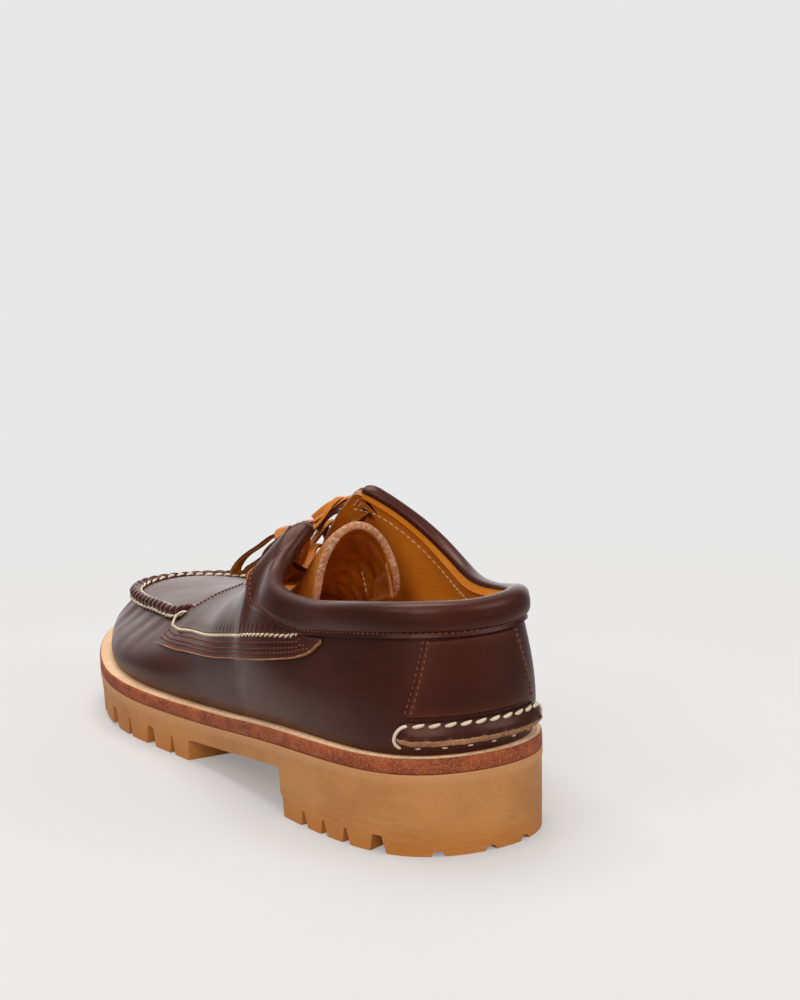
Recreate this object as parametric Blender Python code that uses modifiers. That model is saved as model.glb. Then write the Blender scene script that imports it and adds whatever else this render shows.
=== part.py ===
"""Moc-toe derby shoe for the left foot, built as separate closed solids.

World axes in millimetres inside the functions (metres once a mesh is made):
+Z up, toe towards -Y, heel towards +Y, outer (lateral) side towards +X.
Every outline runs on one shared angle: 0 at the back of the heel, 180 at the
toe, positive round the lateral side and negative round the medial side.
"""

import math

import bmesh
import bpy
import numpy as np
from mathutils import Matrix, Vector

MM = 0.001

# Sole sizes
LENGTH = 300.0
HEEL_LENGTH = 72.4
LAST_LUG = 155.4
MIDSOLE_THICK = 5.2
SHANK_THICK = 8.0
TOE_SPRING = 9.0
FLAT_UNTIL = 0.64
SIDE_BAND = 3.0
SIDE_STEP = 0.7
LUG_HEIGHT = 8.0
LUG_STEP = 0.5
LUG_DRAFT = 0.3
GAP = 0.3
EDGE_COUNT = 72
SOLE_COUNT = 60

# Upper sizes
WALL = 2.2
INSOLE_THICK = 3.0
THROAT_ANGLE = 95.0
RIM_ANGLE = 105.0
CORNER_ANGLE = 75.0
FINE_ANGLES = (67.5, 72.5, 77.5, 82.5, 87.5)
WALL_LEVELS = (0.0, 0.15, 0.31, 0.48, 0.64, 0.79, 0.91, 1.0)
PLUG_CROWN = 0.075
RIDGE_HEIGHT = 3.5

# Heights of the rubber's top face, by share of the length from the heel
SOLE_TOP = (
    # station, height
    (0.00, 28.0),
    (0.12, 27.3),
    (0.24, 25.7),
    (0.36, 21.3),
    (0.48, 17.4),
    (0.60, 16.0),
    (0.72, 16.0),
    (1.00, 16.3),
)

# Half widths of the sole, by angle round the shoe
SOLE_OUTLINE = (
    # angle, lateral, medial
    (0, 0.0, 0.0),
    (15, 19.9, 20.1),
    (30, 32.8, 32.8),
    (45, 40.0, 37.9),
    (60, 43.9, 38.2),
    (75, 44.4, 36.4),
    (90, 47.0, 40.5),
    (105, 53.2, 47.5),
    (120, 55.2, 48.6),
    (135, 47.9, 40.9),
    (150, 35.1, 28.4),
    (165, 18.4, 14.6),
    (180, 0.6, -0.6),
)

# Width of the midsole left showing outside the upper
SOLE_MARGIN = (
    # angle, lateral, medial
    (0, 2.6, 2.6),
    (45, 3.2, 3.2),
    (75, 4.2, 4.0),
    (105, 4.6, 4.2),
    (135, 6.0, 5.2),
    (180, 6.6, 6.6),
)

# Where the wall of the upper ends: the collar edge, then the lacing edge,
# then the shoulder that carries the hand-sewn seam round the toe
TOP_LINE_LATERAL = (
    # angle, x, y, z
    (0, 0.0, 143.6, 79.4),
    (15, 14.4, 140.6, 79.9),
    (30, 25.2, 129.8, 79.3),
    (45, 32.2, 106.5, 76.5),
    (57, 35.6, 82.0, 74.6),
    (66, 35.2, 60.6, 78.6),
    (71, 25.2, 48.8, 85.8),
    (75, 12.5, 41.5, 93.8),
    (78, 9.8, 34.0, 85.5),
    (82, 10.0, 23.5, 77.0),
    (86, 11.0, 13.0, 71.6),
    (90, 12.5, 1.5, 68.4),
    (94, 15.8, -11.5, 64.4),
    (99, 21.0, -25.5, 59.2),
    (106, 30.0, -42.0, 50.2),
    (116, 32.0, -66.3, 46.8),
    (126.5, 31.0, -89.3, 45.2),
    (138.5, 28.4, -112.0, 44.6),
    (154, 19.0, -128.6, 44.4),
    (180, 0.5, -133.8, 44.2),
)
TOP_LINE_MEDIAL = (
    # angle, x, y, z
    (0, 0.0, 143.6, 79.4),
    (15, 15.0, 140.8, 79.8),
    (30, 25.4, 130.0, 79.5),
    (45, 31.9, 106.7, 75.8),
    (57, 34.5, 82.0, 75.0),
    (66, 34.6, 61.8, 82.4),
    (71, 26.0, 49.0, 94.4),
    (75, 12.6, 39.0, 105.2),
    (78, 12.0, 30.0, 103.2),
    (82, 12.0, 20.5, 97.4),
    (86, 12.2, 10.0, 89.6),
    (90, 13.0, -0.5, 81.6),
    (94, 15.0, -11.5, 73.0),
    (99, 20.8, -25.5, 62.0),
    (106, 30.0, -42.0, 50.4),
    (116, 32.0, -66.3, 46.8),
    (126.5, 31.0, -89.3, 45.2),
    (138.5, 28.0, -112.0, 44.4),
    (154, 18.0, -128.4, 43.8),
    (180, -0.5, -133.8, 44.2),
)

# Shape of the wall: lean outwards at the sole and rise at the top line, each
# with the length of its straight run; the lateral lacing flap arches over
WALL_SHAPE = (
    # angle, lean_low, run_low, rise_lateral, rise_medial, run_top
    (0, 4, 16, 82, 82, 16),
    (30, 10, 17, 80, 80, 17),
    (57, 18, 18, 78, 78, 17),
    (66, 20, 20, 62, 66, 19),
    (71, 20, 22, 34, 52, 23),
    (75, 20, 23, -4, 44, 22),
    (80, 21, 22, 0, 40, 26),
    (86, 22, 21, 4, 37, 25),
    (92, 23, 18, 21, 36, 22),
    (98, 24, 16, 35, 38, 20),
    (106, 22, 15, 46, 46, 15),
    (126.5, 16, 12, 54, 54, 11),
    (154, 14, 9, 54, 54, 8),
    (180, 12, 8, 56, 56, 7),
)

# Middle line and half pipe of the tongue, from under the plug to its free end
TONGUE = (
    # share, y, z, half_width, drop
    (0.00, -21.0, 62.4, 14.0, 6.0),
    (0.15, -9.0, 62.0, 15.5, 8.0),
    (0.40, 13.0, 67.5, 17.0, 13.0),
    (0.70, 35.0, 81.8, 17.6, 22.0),
    (0.90, 50.0, 94.4, 18.0, 29.0),
    (1.00, 57.0, 97.6, 18.0, 31.0),
)
TONGUE_THICK = 3.0
TONGUE_CORNER = 9.0

# Overlays on the wall: thickness of each, and edges as heights by angle
QUARTER_THICK = 1.6
FLAP_CLEAR = 0.3
STRIP_THICK = 1.2
PANEL_THICK = 1.2
QUARTER_LOW = (
    # angle, height of the quarter's lower edge
    (54.0, 66.2),
    (56.0, 65.4),
    (62.5, 63.2),
    (69.0, 60.2),
    (80.0, 54.4),
    (90.0, 49.6),
    (97.0, 46.8),
    (101.0, 45.2),
    (104.2, 44.8),
)
STRIP_LOW = (
    # angle, height of the side strip's lower edge
    (48.0, 66.0),
    (49.0, 63.2),
    (51.5, 60.2),
    (55.0, 57.8),
    (64.0, 53.8),
    (73.5, 49.5),
    (82.0, 45.4),
    (90.0, 42.4),
    (97.5, 39.8),
    (106.5, 38.6),
)
COLLAR_BAND = (
    # angle, run of the band down the wall from its top line
    (0.0, 7.1),
    (30.0, 7.4),
    (45.0, 7.7),
    (57.0, 6.6),
    (64.0, 6.8),
    (67.0, 10.0),
    (70.0, 15.4),
    (72.0, 21.5),
    (75.0, 24.0),
)
HEEL_PANEL = (
    # height, half angle
    (46.6, 20.0),
    (54.5, 18.5),
    (61.0, 17.5),
    (71.6, 16.0),
)
KICKER_ANGLE = 23.0
KICKER_SECTION = (
    # height, stand-off from the wall
    (37.4, 0.3),
    (37.2, 1.5),
    (39.6, 2.2),
    (42.0, 2.8),
    (44.2, 3.2),
    (45.7, 2.4),
    (46.1, 1.2),
    (45.9, 0.3),
)

# Round section of the padded collar: outer band, bead over the wall's edge
# and the short leg inside
ROLL_BEAD = (
    # outwards, upwards
    (3.4, 1.4),
    (2.2, 3.4),
    (-0.4, 4.4),
    (-3.2, 3.6),
    (-4.9, 1.2),
)
ROLL_LEG = (
    # run down the wall, stand-off inwards from its outer face
    (1.8, 5.0),
    (4.4, 4.3),
    (4.6, 2.7),
    (1.5, 2.7),
)
ROLL_SEAT = (
    # outwards, upwards
    (-2.6, 0.4),
    (0.3, 0.4),
)
ROLL_END = 0.72
SEAT_SLACK = 0.6
SEAT_RISE = 2.1
BAND_BEAD = (
    # run down the wall, stand-off of the band's outer face
    (1.1, 3.6),
    (3.0, 3.2),
    (4.8, 2.3),
)
BAND_FLAT = 1.5
BAND_STEPS = 3

# Lacing: eyelets by angle and run down the flap, the same way on both sides
EYELETS_LATERAL = (
    # angle, run
    (88.5, 8.5),
    (83.0, 8.5),
    (78.0, 8.5),
)
EYELETS_MEDIAL = (
    # angle, run
    (88.5, 8.5),
    (82.5, 9.0),
    (77.0, 10.0),
)
EYELET_PROFILE = (
    # radius, height over the quarter
    (1.95, 0.7),
    (1.95, -4.9),
    (2.4, -4.9),
    (2.4, 0.0),
    (3.7, 0.0),
    (3.3, 0.7),
)
EYELET_STEPS = 8
EYELET_LIFT = 0.55
EYELET_HOLE = 2.9
LACE_RADIUS = 1.4
LACE_STEP = 7.5
KNOT_CENTRE = (2.4, 12.4, 87.8)
KNOT_RADII = (6.0, 4.4, 4.4)

# Lace from the knot through all six eyelets and back to it. A row is a point
# (x, y, z), or an eyelet with the way through it: -1 inwards, 1 outwards.
LACE_CROSSINGS = (
    (-1.0, 17.4, 91.8),
    (-7.0, 19.0, 96.8),
    (-13.2, 20.0, 101.0),
    (-19.0, 23.3, 101.2),
    (-22.6, 29.6, 100.8),
    ("eyelet_medial_3", -1),
    (-14.3, 30.6, 92.6),
    (-14.0, 24.0, 90.2),
    ("eyelet_medial_2", 1),
    (-21.6, 17.0, 95.8),
    (-16.9, 16.9, 98.5),
    (-10.8, 18.6, 99.6),
    (-5.0, 19.2, 94.6),
    (3.0, 19.4, 87.0),
    (8.5, 19.0, 82.4),
    (14.0, 18.6, 80.6),
    (18.0, 18.2, 80.0),
    ("eyelet_lateral_2", -1),
    (17.8, 20.0, 68.8),
    (18.2, 11.0, 64.0),
    ("eyelet_lateral_1", 1),
    (19.2, 3.6, 73.2),
    (13.0, 4.0, 74.4),
    (6.0, 4.6, 75.6),
    (-3.0, 4.4, 79.4),
    (-10.2, 3.0, 85.4),
    (-15.0, 1.4, 88.0),
    (-20.8, 0.8, 85.8),
    ("eyelet_medial_1", -1),
    (-14.0, 8.0, 76.6),
    (-9.0, 13.6, 79.0),
    (0.0, 19.4, 82.8),
    (7.2, 27.9, 76.5),
    (12.6, 34.2, 77.9),
    ("eyelet_lateral_3", 1),
    (18.2, 27.6, 90.0),
    (14.0, 22.4, 91.2),
    (9.0, 17.6, 90.8),
)
LACE_LOOP_LATERAL = (
    (8.8, 10.0, 87.6),
    (11.6, 6.6, 86.2),
    (14.6, 2.0, 82.6),
    (18.0, -5.0, 78.0),
    (20.2, -10.0, 73.2),
    (19.2, -13.4, 69.6),
    (16.6, -13.0, 69.6),
    (16.6, -7.0, 72.0),
    (16.0, 0.6, 75.6),
    (13.4, 8.0, 80.4),
    (8.6, 12.4, 84.6),
)
LACE_LOOP_MEDIAL = (
    (-3.2, 12.8, 91.6),
    (-8.4, 14.0, 95.6),
    (-15.0, 13.4, 97.4),
    (-21.4, 8.6, 95.0),
    (-26.2, 1.4, 90.2),
    (-28.4, -6.0, 83.6),
    (-25.4, -9.8, 80.6),
    (-22.4, -5.2, 85.8),
    (-18.6, 2.0, 92.4),
    (-13.0, 7.4, 93.6),
    (-7.6, 9.4, 91.0),
    (-4.2, 10.8, 88.0),
)
LACE_END_LATERAL = (
    (5.6, 8.0, 86.4),
    (8.4, 3.0, 83.2),
    (9.6, -5.0, 77.4),
    (4.4, -17.2, 70.4),
)
LACE_END_MEDIAL = (
    (-1.4, 8.2, 90.0),
    (-6.4, 4.2, 89.6),
    (-12.0, -1.0, 87.0),
    (-18.0, -8.0, 80.6),
    (-22.6, -14.6, 72.6),
)


def natural_spline(knots, values):
    """Cubic spline with free ends through rows of values."""
    x = np.asarray(knots, float)
    y = np.asarray(values, float)
    y = y.reshape(len(x), -1)
    n = len(x)
    h = np.diff(x)
    system = np.zeros((n, n))
    right = np.zeros((n, y.shape[1]))
    system[0, 0] = system[-1, -1] = 1.0
    for i in range(1, n - 1):
        system[i, i - 1 : i + 2] = h[i - 1], 2 * (h[i - 1] + h[i]), h[i]
        right[i] = 6 * ((y[i + 1] - y[i]) / h[i] - (y[i] - y[i - 1]) / h[i - 1])
    bend = np.linalg.solve(system, right)

    def at(where):
        q = np.atleast_1d(np.asarray(where, float))
        k = np.clip(np.searchsorted(x, q) - 1, 0, n - 2)
        a = (x[k + 1] - q) / h[k]
        b = 1 - a
        a = a[:, None]
        b = b[:, None]
        step = (h[k] ** 2)[:, None] / 6
        return a * y[k] + b * y[k + 1] + ((a**3 - a) * bend[k] + (b**3 - b) * bend[k + 1]) * step

    return at


def round_spline(lateral, medial, mirrored):
    """Spline in the shared angle that closes smoothly at heel and toe.

    Each table holds rows of (angle, values); `mirrored` lists the columns
    whose sign turns on the medial side.
    """
    flip = np.ones(len(lateral[0]) - 1)
    flip[list(mirrored)] = -1
    lat = np.array(lateral, float)
    med = np.array(medial, float)
    med = np.column_stack([-med[:, 0], med[:, 1:] * flip])[::-1]
    once = np.concatenate([med[:-1], lat])
    before = once[:-1] - [360] + np.zeros_like(once[:-1])
    before[:, 1:] = once[:-1, 1:]
    after = once[1:].copy()
    after[:, 0] += 360
    rows = np.concatenate([before[-9:], once, after[:9]])
    return natural_spline(rows[:, 0], rows[:, 1:])


def two_sided(table):
    """The lateral and medial tables of a three-column table."""
    lateral = [(row[0], row[1]) for row in table]
    medial = [(row[0], row[2]) for row in table]
    return lateral, medial


sole_half = round_spline(*two_sided(SOLE_OUTLINE), mirrored=(0,))
sole_margin = round_spline(*two_sided(SOLE_MARGIN), mirrored=())
top_line = round_spline(TOP_LINE_LATERAL, TOP_LINE_MEDIAL, mirrored=(0,))
wall_shape = round_spline(
    [row[:4] + row[5:] for row in WALL_SHAPE],
    [row[:3] + row[4:] for row in WALL_SHAPE],
    mirrored=(),
)
sole_top_at = natural_spline([r[0] for r in SOLE_TOP], [r[1] for r in SOLE_TOP])


def station(y):
    return np.clip((LENGTH / 2 - np.asarray(y, float)) / LENGTH, 0, 1)


def ground(y):
    """Height of the tread's underside: flat, then rising to the toe."""
    past = np.clip((station(y) - FLAT_UNTIL) / (1 - FLAT_UNTIL), 0, 1)
    return TOE_SPRING * past**1.9


def rubber_top(y):
    return sole_top_at(station(y))[:, 0] + ground(np.atleast_1d(y))


def midsole_top(y):
    return rubber_top(y) + GAP + MIDSOLE_THICK


def outline(angles):
    """Plan points (x, y) of the sole's edge."""
    turn = np.radians(angles)
    return np.column_stack([sole_half(angles)[:, 0], LENGTH / 2 * np.cos(turn)])


def outline_normal(angles):
    """Outward plan normals of the sole's edge."""
    small = 0.25
    ahead = outline(np.asarray(angles) + small)
    behind = outline(np.asarray(angles) - small)
    along = ahead - behind
    normal = np.column_stack([-along[:, 1], along[:, 0]])
    return normal / np.linalg.norm(normal, axis=1)[:, None]


def inset(angles, distance):
    """Plan points at a distance inside the sole's edge."""
    return outline(angles) - outline_normal(angles) * np.reshape(distance, (-1, 1))


def even_angles(count):
    """Angles from -180 up to but not including 180, with 0 among them."""
    return np.arange(count) * 360.0 / count - 180.0


def feather(angles):
    """Line where the upper stands on the midsole."""
    plan = inset(angles, sole_margin(angles)[:, 0])
    return np.column_stack([plan, midsole_top(plan[:, 1]) + GAP])


def wall(angles, shares):
    """Outer face of the upper's wall: angles by shares of its height.

    `shares` is one list for every angle, or a row of shares for each angle.
    """
    low = feather(angles)
    high = top_line(angles)
    shape = wall_shape(angles)
    lean = np.radians(shape[:, 0])
    rise = np.radians(shape[:, 2])
    away = outline_normal(angles)
    turned = np.clip((np.abs(angles) - 60) / 12, 0, 1) * np.clip((112 - np.abs(angles)) / 12, 0, 1)
    side = np.column_stack([np.sign(angles), np.zeros(len(angles))])
    away = away * (1 - turned[:, None]) + side * turned[:, None]
    away /= np.linalg.norm(away, axis=1)[:, None]
    leave = np.column_stack([away * np.sin(lean)[:, None], np.cos(lean)])
    reach = np.column_stack([-away * np.cos(rise)[:, None], np.sin(rise)])
    first = low + leave * shape[:, 1:2]
    second = high - reach * shape[:, 3:4]
    t = np.atleast_2d(np.asarray(shares, float))[:, :, None]
    a, b, c, d = (p[:, None, :] for p in (low, first, second, high))
    return a * (1 - t) ** 3 + 3 * b * t * (1 - t) ** 2 + 3 * c * t**2 * (1 - t) + d * t**3


def wall_normals(angles, shares):
    """Outward normals of the wall at the same places as wall() gives."""
    angles = np.asarray(angles, float)
    shares = np.atleast_2d(np.asarray(shares, float))
    along = wall(angles + 0.2, shares) - wall(angles - 0.2, shares)
    climb = wall(angles, shares + 0.004) - wall(angles, shares - 0.004)
    normal = np.cross(climb, along)
    return normal / np.linalg.norm(normal, axis=2)[:, :, None]


def share_at_height(angles, heights):
    """Share of the wall at which each angle reaches its height."""
    shares = np.linspace(0, 1, 81)
    climbs = np.maximum.accumulate(wall(angles, shares)[:, :, 2], axis=1)
    return np.array([np.interp(h, row, shares) for h, row in zip(heights, climbs)])


def share_below(angles, runs):
    """Share of the wall at a run measured down its face from the top line."""
    shares = np.linspace(1, 0, 121)
    face = wall(angles, shares)
    steps = np.linalg.norm(np.diff(face, axis=1), axis=2)
    down = np.column_stack([np.zeros(len(face)), np.cumsum(steps, axis=1)])
    runs = np.broadcast_to(runs, len(face))
    return np.array([np.interp(r, row, shares) for r, row in zip(runs, down)])


def read_table(table, where):
    """Second column of a two-column table at positions in its first."""
    rows = np.array(table, float)
    return np.interp(where, rows[:, 0], rows[:, 1])


def wall_angles():
    """Angles of the upper's own grid, closer together at the collar's corners."""
    fine = np.array(FINE_ANGLES)
    return np.sort(np.concatenate([even_angles(EDGE_COUNT), fine, -fine]))


def angles_between(start, end):
    """The grid's angles from start to end, with both ends."""
    grid = wall_angles()
    inner = grid[(grid > start + 0.6) & (grid < end - 0.6)]
    return np.concatenate([[start], inner, [end]])


def side_centre():
    """Middle of the sole's width, which is set at x = 0 in the world."""
    edge = outline(even_angles(EDGE_COUNT))
    return (edge[:, 0].max() + edge[:, 0].min()) / 2


def clear_scene():
    for old in list(bpy.data.objects):
        bpy.data.objects.remove(old, do_unlink=True)


def make_collection(name, hidden=False):
    made = bpy.data.collections.new(name)
    bpy.context.scene.collection.children.link(made)
    made.hide_render = hidden
    return made


def make_material(name, colour, roughness, metallic=0.0):
    made = bpy.data.materials.new(name)
    made.use_nodes = True
    shader = made.node_tree.nodes["Principled BSDF"]
    shader.inputs["Base Color"].default_value = (*colour, 1.0)
    shader.inputs["Roughness"].default_value = roughness
    shader.inputs["Metallic"].default_value = metallic
    return made


def make_object(name, points, faces, collection, material=None, cutter=False, turn_out=True):
    """One mesh object from points in millimetres."""
    mesh = bpy.data.meshes.new(name)
    placed = (np.asarray(points, float) - [side_centre(), 0, 0]) * MM
    mesh.from_pydata(placed.tolist(), [], [list(map(int, f)) for f in faces])
    work = bmesh.new()
    work.from_mesh(mesh)
    bmesh.ops.remove_doubles(work, verts=work.verts, dist=1e-6)
    loose = [vert for vert in work.verts if not vert.link_faces]
    bmesh.ops.delete(work, geom=loose, context="VERTS")
    if turn_out:
        bmesh.ops.recalc_face_normals(work, faces=work.faces)
    work.to_mesh(mesh)
    work.free()
    made = bpy.data.objects.new(name, mesh)
    if material:
        mesh.materials.append(material)
    if cutter:
        made.hide_render = True
        made.display_type = "WIRE"
    collection.objects.link(made)
    return made


def grid_faces(rows, columns, offset=0, wrap_rows=False, wrap_columns=False):
    """Quads of a grid stored row by row."""
    faces = []
    for i in range(rows if wrap_rows else rows - 1):
        for j in range(columns if wrap_columns else columns - 1):
            down = (i + 1) % rows
            along = (j + 1) % columns
            faces.append(
                (
                    offset + i * columns + j,
                    offset + i * columns + along,
                    offset + down * columns + along,
                    offset + down * columns + j,
                )
            )
    return faces


def ladder_faces(count, offset=0):
    """Cap of a ring on even angles: rungs join the two sides at each length."""
    faces = []
    half = count // 2
    for i in range(half):
        left, right = (half + i) % count, (half - i) % count
        next_left, next_right = (half + i + 1) % count, (half - i - 1) % count
        face = [left, next_left, next_right, right]
        kept = []
        for corner in face:
            if corner not in kept:
                kept.append(corner)
        faces.append([offset + corner for corner in kept])
    return faces


def ring_solid(name, rings, collection, material):
    """Closed solid from rings on even angles, capped across at both ends."""
    count = len(rings[0])
    points = np.concatenate(rings)
    faces = grid_faces(len(rings), count, wrap_columns=True)
    faces += ladder_faces(count)
    faces += ladder_faces(count, offset=(len(rings) - 1) * count)
    return make_object(name, points, faces, collection, material)


def add_boolean(target, cutter, name, operation="DIFFERENCE"):
    made = target.modifiers.new(name, "BOOLEAN")
    made.operation = operation
    made.solver = "EXACT"
    made.object = cutter
    return made


def prism_cutter(name, outlines, collection):
    """Cutter of separate prisms, each an (N, 3) near loop and its far loop."""
    points = []
    faces = []
    for near, far in outlines:
        start = len(points)
        count = len(near)
        points += list(near) + list(far)
        faces.append([start + i for i in range(count)])
        faces.append([start + count + i for i in range(count)])
        for i in range(count):
            j = (i + 1) % count
            faces.append([start + i, start + j, start + count + j, start + count + i])
    return make_object(name, points, faces, collection, cutter=True)


# Notches of the tread's edge, by their length position: a narrow one is a V,
# a wide one a trapezoid; depth is measured inwards from the sole's edge
HEEL_NOTCHES = (
    # y, width_floor, width_top, height, depth
    (93.2, 5.6, 1.4, 5.6, 9.0),
    (105.2, 4.6, 1.2, 5.4, 9.0),
    (117.1, 4.8, 1.2, 5.6, 9.0),
    (131.0, 7.8, 4.4, 6.0, 9.0),
)
HEEL_BACK_NOTCHES = (
    # x, width, height, depth
    (-16.5, 5.0, 1.6, 6.0),
    (-1.6, 5.0, 1.6, 6.0),
    (17.0, 5.4, 1.6, 6.0),
)
FOREFOOT_NOTCHES = (
    # y, width_floor, width_top, height, depth
    (-17.2, 4.6, 1.2, 7.4, 10.0),
    (-34.0, 8.4, 5.2, 7.6, 11.0),
    (-52.4, 4.6, 1.2, 7.4, 10.0),
    (-69.0, 8.4, 5.2, 7.6, 11.0),
    (-86.6, 4.6, 1.2, 7.4, 10.0),
    (-102.0, 8.0, 5.0, 7.6, 11.0),
    (-118.0, 4.6, 1.2, 7.2, 10.0),
    (-131.0, 7.0, 4.4, 7.2, 9.0),
)
TREAD_GROOVES = (
    # y_centre, half_span, width, depth
    (-25.6, 33.0, 4.0, 4.0),
    (-43.2, 36.0, 4.0, 4.0),
    (-60.8, 37.0, 4.0, 4.0),
    (-77.8, 36.0, 4.0, 4.0),
    (-94.3, 31.0, 4.0, 4.0),
    (-110.0, 25.0, 4.0, 4.0),
    (99.2, 26.0, 4.0, 4.0),
    (111.2, 25.0, 4.0, 4.0),
)


def angle_of(y, side):
    """Shared angle of the sole's edge at a length position."""
    return side * math.degrees(math.acos(np.clip(y / (LENGTH / 2), -1, 1)))


def notch_loops(centre, normal, base, width_floor, width_top, height, depth):
    """Near and far loops of one notch cut in from the sole's edge."""
    along = np.array([-normal[1], normal[0], 0.0])
    out = np.array([normal[0], normal[1], 0.0])
    low = base - 3.0
    flare = (width_floor - width_top) / height
    half_low = width_floor / 2 + flare * 3.0 / 2
    half_top = width_top / 2
    loop = [
        (-half_low, low),
        (half_low, low),
        (half_top, base + height),
        (-half_top, base + height),
    ]
    start = np.array([centre[0], centre[1], 0.0])
    up = np.array([0.0, 0.0, 1.0])
    near = [start + out * 6.0 + along * a + up * z for a, z in loop]
    far = [start - out * depth + along * a * 0.72 + up * z for a, z in loop]
    return np.array(near), np.array(far)


def edge_notches(table):
    loops = []
    for y, width_floor, width_top, height, depth in table:
        for side in (1, -1):
            angle = np.array([angle_of(y, side)])
            centre = outline(angle)[0]
            normal = outline_normal(angle)[0]
            base = float(ground(centre[1]))
            loops.append(notch_loops(centre, normal, base, width_floor, width_top, height, depth))
    return loops


def back_notches():
    loops = []
    for x, width, height, depth in HEEL_BACK_NOTCHES:
        angles = np.linspace(-40, 40, 161)
        line = outline(angles)
        nearest = angles[np.argmin(np.abs(line[:, 0] - x))]
        centre = outline([nearest])[0]
        normal = outline_normal(np.array([nearest]))[0]
        loops.append(notch_loops(centre, normal, 0.0, width, width * 0.7, height, depth))
    return loops


def groove_loops():
    loops = []
    for y, half_span, width, depth in TREAD_GROOVES:
        edges = outline(np.array([angle_of(y, 1), angle_of(y, -1)]))
        middle = float(edges[:, 0].mean())
        base = float(ground(y))
        shape = [
            (y - width / 2 - 0.5, base - 3.0),
            (y + width / 2 + 0.5, base - 3.0),
            (y + width / 2 - 0.6, base + depth),
            (y - width / 2 + 0.6, base + depth),
        ]
        near = [(middle - half_span, a, z) for a, z in shape]
        far = [(middle + half_span, a, z) for a, z in shape]
        loops.append((np.array(near), np.array(far)))
    return loops


def shank_cutter(collection):
    """Everything under the shank, between the heel breast and the last lug."""
    breast = LENGTH / 2 - HEEL_LENGTH
    front = LENGTH / 2 - LAST_LUG
    span = np.linspace(front + 3.5, breast - 1.6, 9)
    roof = rubber_top(span) - SHANK_THICK
    loop = [(front - 0.6, -5.0), (front + 1.2, float(roof[0]) - 1.2)]
    loop += list(zip(span, roof))
    loop += [
        (breast, float(roof[-1]) - 1.4),
        (breast, LUG_HEIGHT),
        (breast + 1.2, LUG_HEIGHT - 0.8),
        (breast + 1.6, -5.0),
    ]
    near = [(-90.0, y, z) for y, z in loop]
    far = [(90.0, y, z) for y, z in loop]
    return prism_cutter("cut_shank", [(np.array(near), np.array(far))], collection)


def build_outsole(parts, cutters, material, count=SOLE_COUNT):
    angles = even_angles(count)
    edge = outline(angles)
    top = rubber_top(edge[:, 1])
    base = ground(edge[:, 1])
    lug_top = np.minimum(base + LUG_HEIGHT, top - SHANK_THICK + 1.0)
    levels = (
        (0.0, top),
        (0.0, top - SIDE_BAND),
        (SIDE_STEP, top - SIDE_BAND - 0.4),
        (SIDE_STEP + 0.2, lug_top + 0.5),
        (SIDE_STEP + LUG_STEP, lug_top),
        (SIDE_STEP + LUG_STEP + LUG_DRAFT, base),
    )
    rings = [np.column_stack([inset(angles, np.full(count, d)), z]) for d, z in levels]
    made = ring_solid("outsole", rings, parts, material)
    add_boolean(made, shank_cutter(cutters), "shank")
    notches = edge_notches(HEEL_NOTCHES) + edge_notches(FOREFOOT_NOTCHES) + back_notches()
    add_boolean(made, prism_cutter("cut_notches", notches, cutters), "notches")
    add_boolean(made, prism_cutter("cut_grooves", groove_loops(), cutters), "grooves")
    return made


def build_midsole(parts, material, count=SOLE_COUNT):
    angles = even_angles(count)
    edge = outline(angles)
    low = rubber_top(edge[:, 1]) + GAP
    levels = ((0.0, low), (0.0, low + MIDSOLE_THICK - 0.5), (0.5, low + MIDSOLE_THICK))
    rings = [np.column_stack([inset(angles, np.full(count, d)), z]) for d, z in levels]
    return ring_solid("midsole", rings, parts, material)


def build_insole(parts, material, count=48):
    angles = even_angles(count)
    plan = inset(angles, sole_margin(angles)[:, 0] + WALL + 0.8)
    low = midsole_top(plan[:, 1]) + GAP
    rings = [np.column_stack([plan, low]), np.column_stack([plan, low + INSOLE_THICK])]
    return ring_solid("insole", rings, parts, material)


def plug_rows(angles, columns):
    """Top of the toe between the two shoulders, one row for each angle."""
    left = top_line(angles)
    right = top_line(-np.asarray(angles))
    share = np.linspace(0, 1, columns)[None, :, None]
    rows = left[:, None, :] * (1 - share) + right[:, None, :] * share
    width = np.linalg.norm(left - right, axis=1)
    crown = PLUG_CROWN * width
    rows[:, :, 2] += crown[:, None] * (1 - (2 * share[0, :, 0][None, :] - 1) ** 2)
    return rows


def upper_sheet(columns=6):
    """Points and faces of the upper's outer skin."""
    angles = wall_angles()
    skin = wall(angles, WALL_LEVELS)
    points = [skin.reshape(-1, 3)]
    faces = grid_faces(len(angles), len(WALL_LEVELS), wrap_rows=True)
    throat = angles[angles >= THROAT_ANGLE - 1e-6][0]
    front = angles[angles >= throat - 1e-6]
    front = np.append(front, 180.0)
    rows = plug_rows(front[:-1], columns)
    start = len(points[0])
    points.append(rows.reshape(-1, 3))
    faces += grid_faces(len(front) - 1, columns, offset=start)
    tip = start + rows.shape[0] * columns
    points.append(wall(np.array([-180.0]), [1.0]).reshape(-1, 3))
    last = start + (rows.shape[0] - 1) * columns
    faces += [(last + j, last + j + 1, tip) for j in range(columns - 1)]
    return np.concatenate(points), faces


def add_solidify(target, thickness, outwards=False, name="thickness"):
    made = target.modifiers.new(name, "SOLIDIFY")
    made.thickness = thickness * MM
    made.offset = 1.0 if outwards else -1.0
    made.use_rim = True
    made.use_quality_normals = True
    return made


def build_upper(parts, material, holes):
    points, faces = upper_sheet()
    made = make_object("upper", points, faces, parts, material)
    add_solidify(made, WALL)
    add_boolean(made, holes, "eyelet_holes")
    return made


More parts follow.
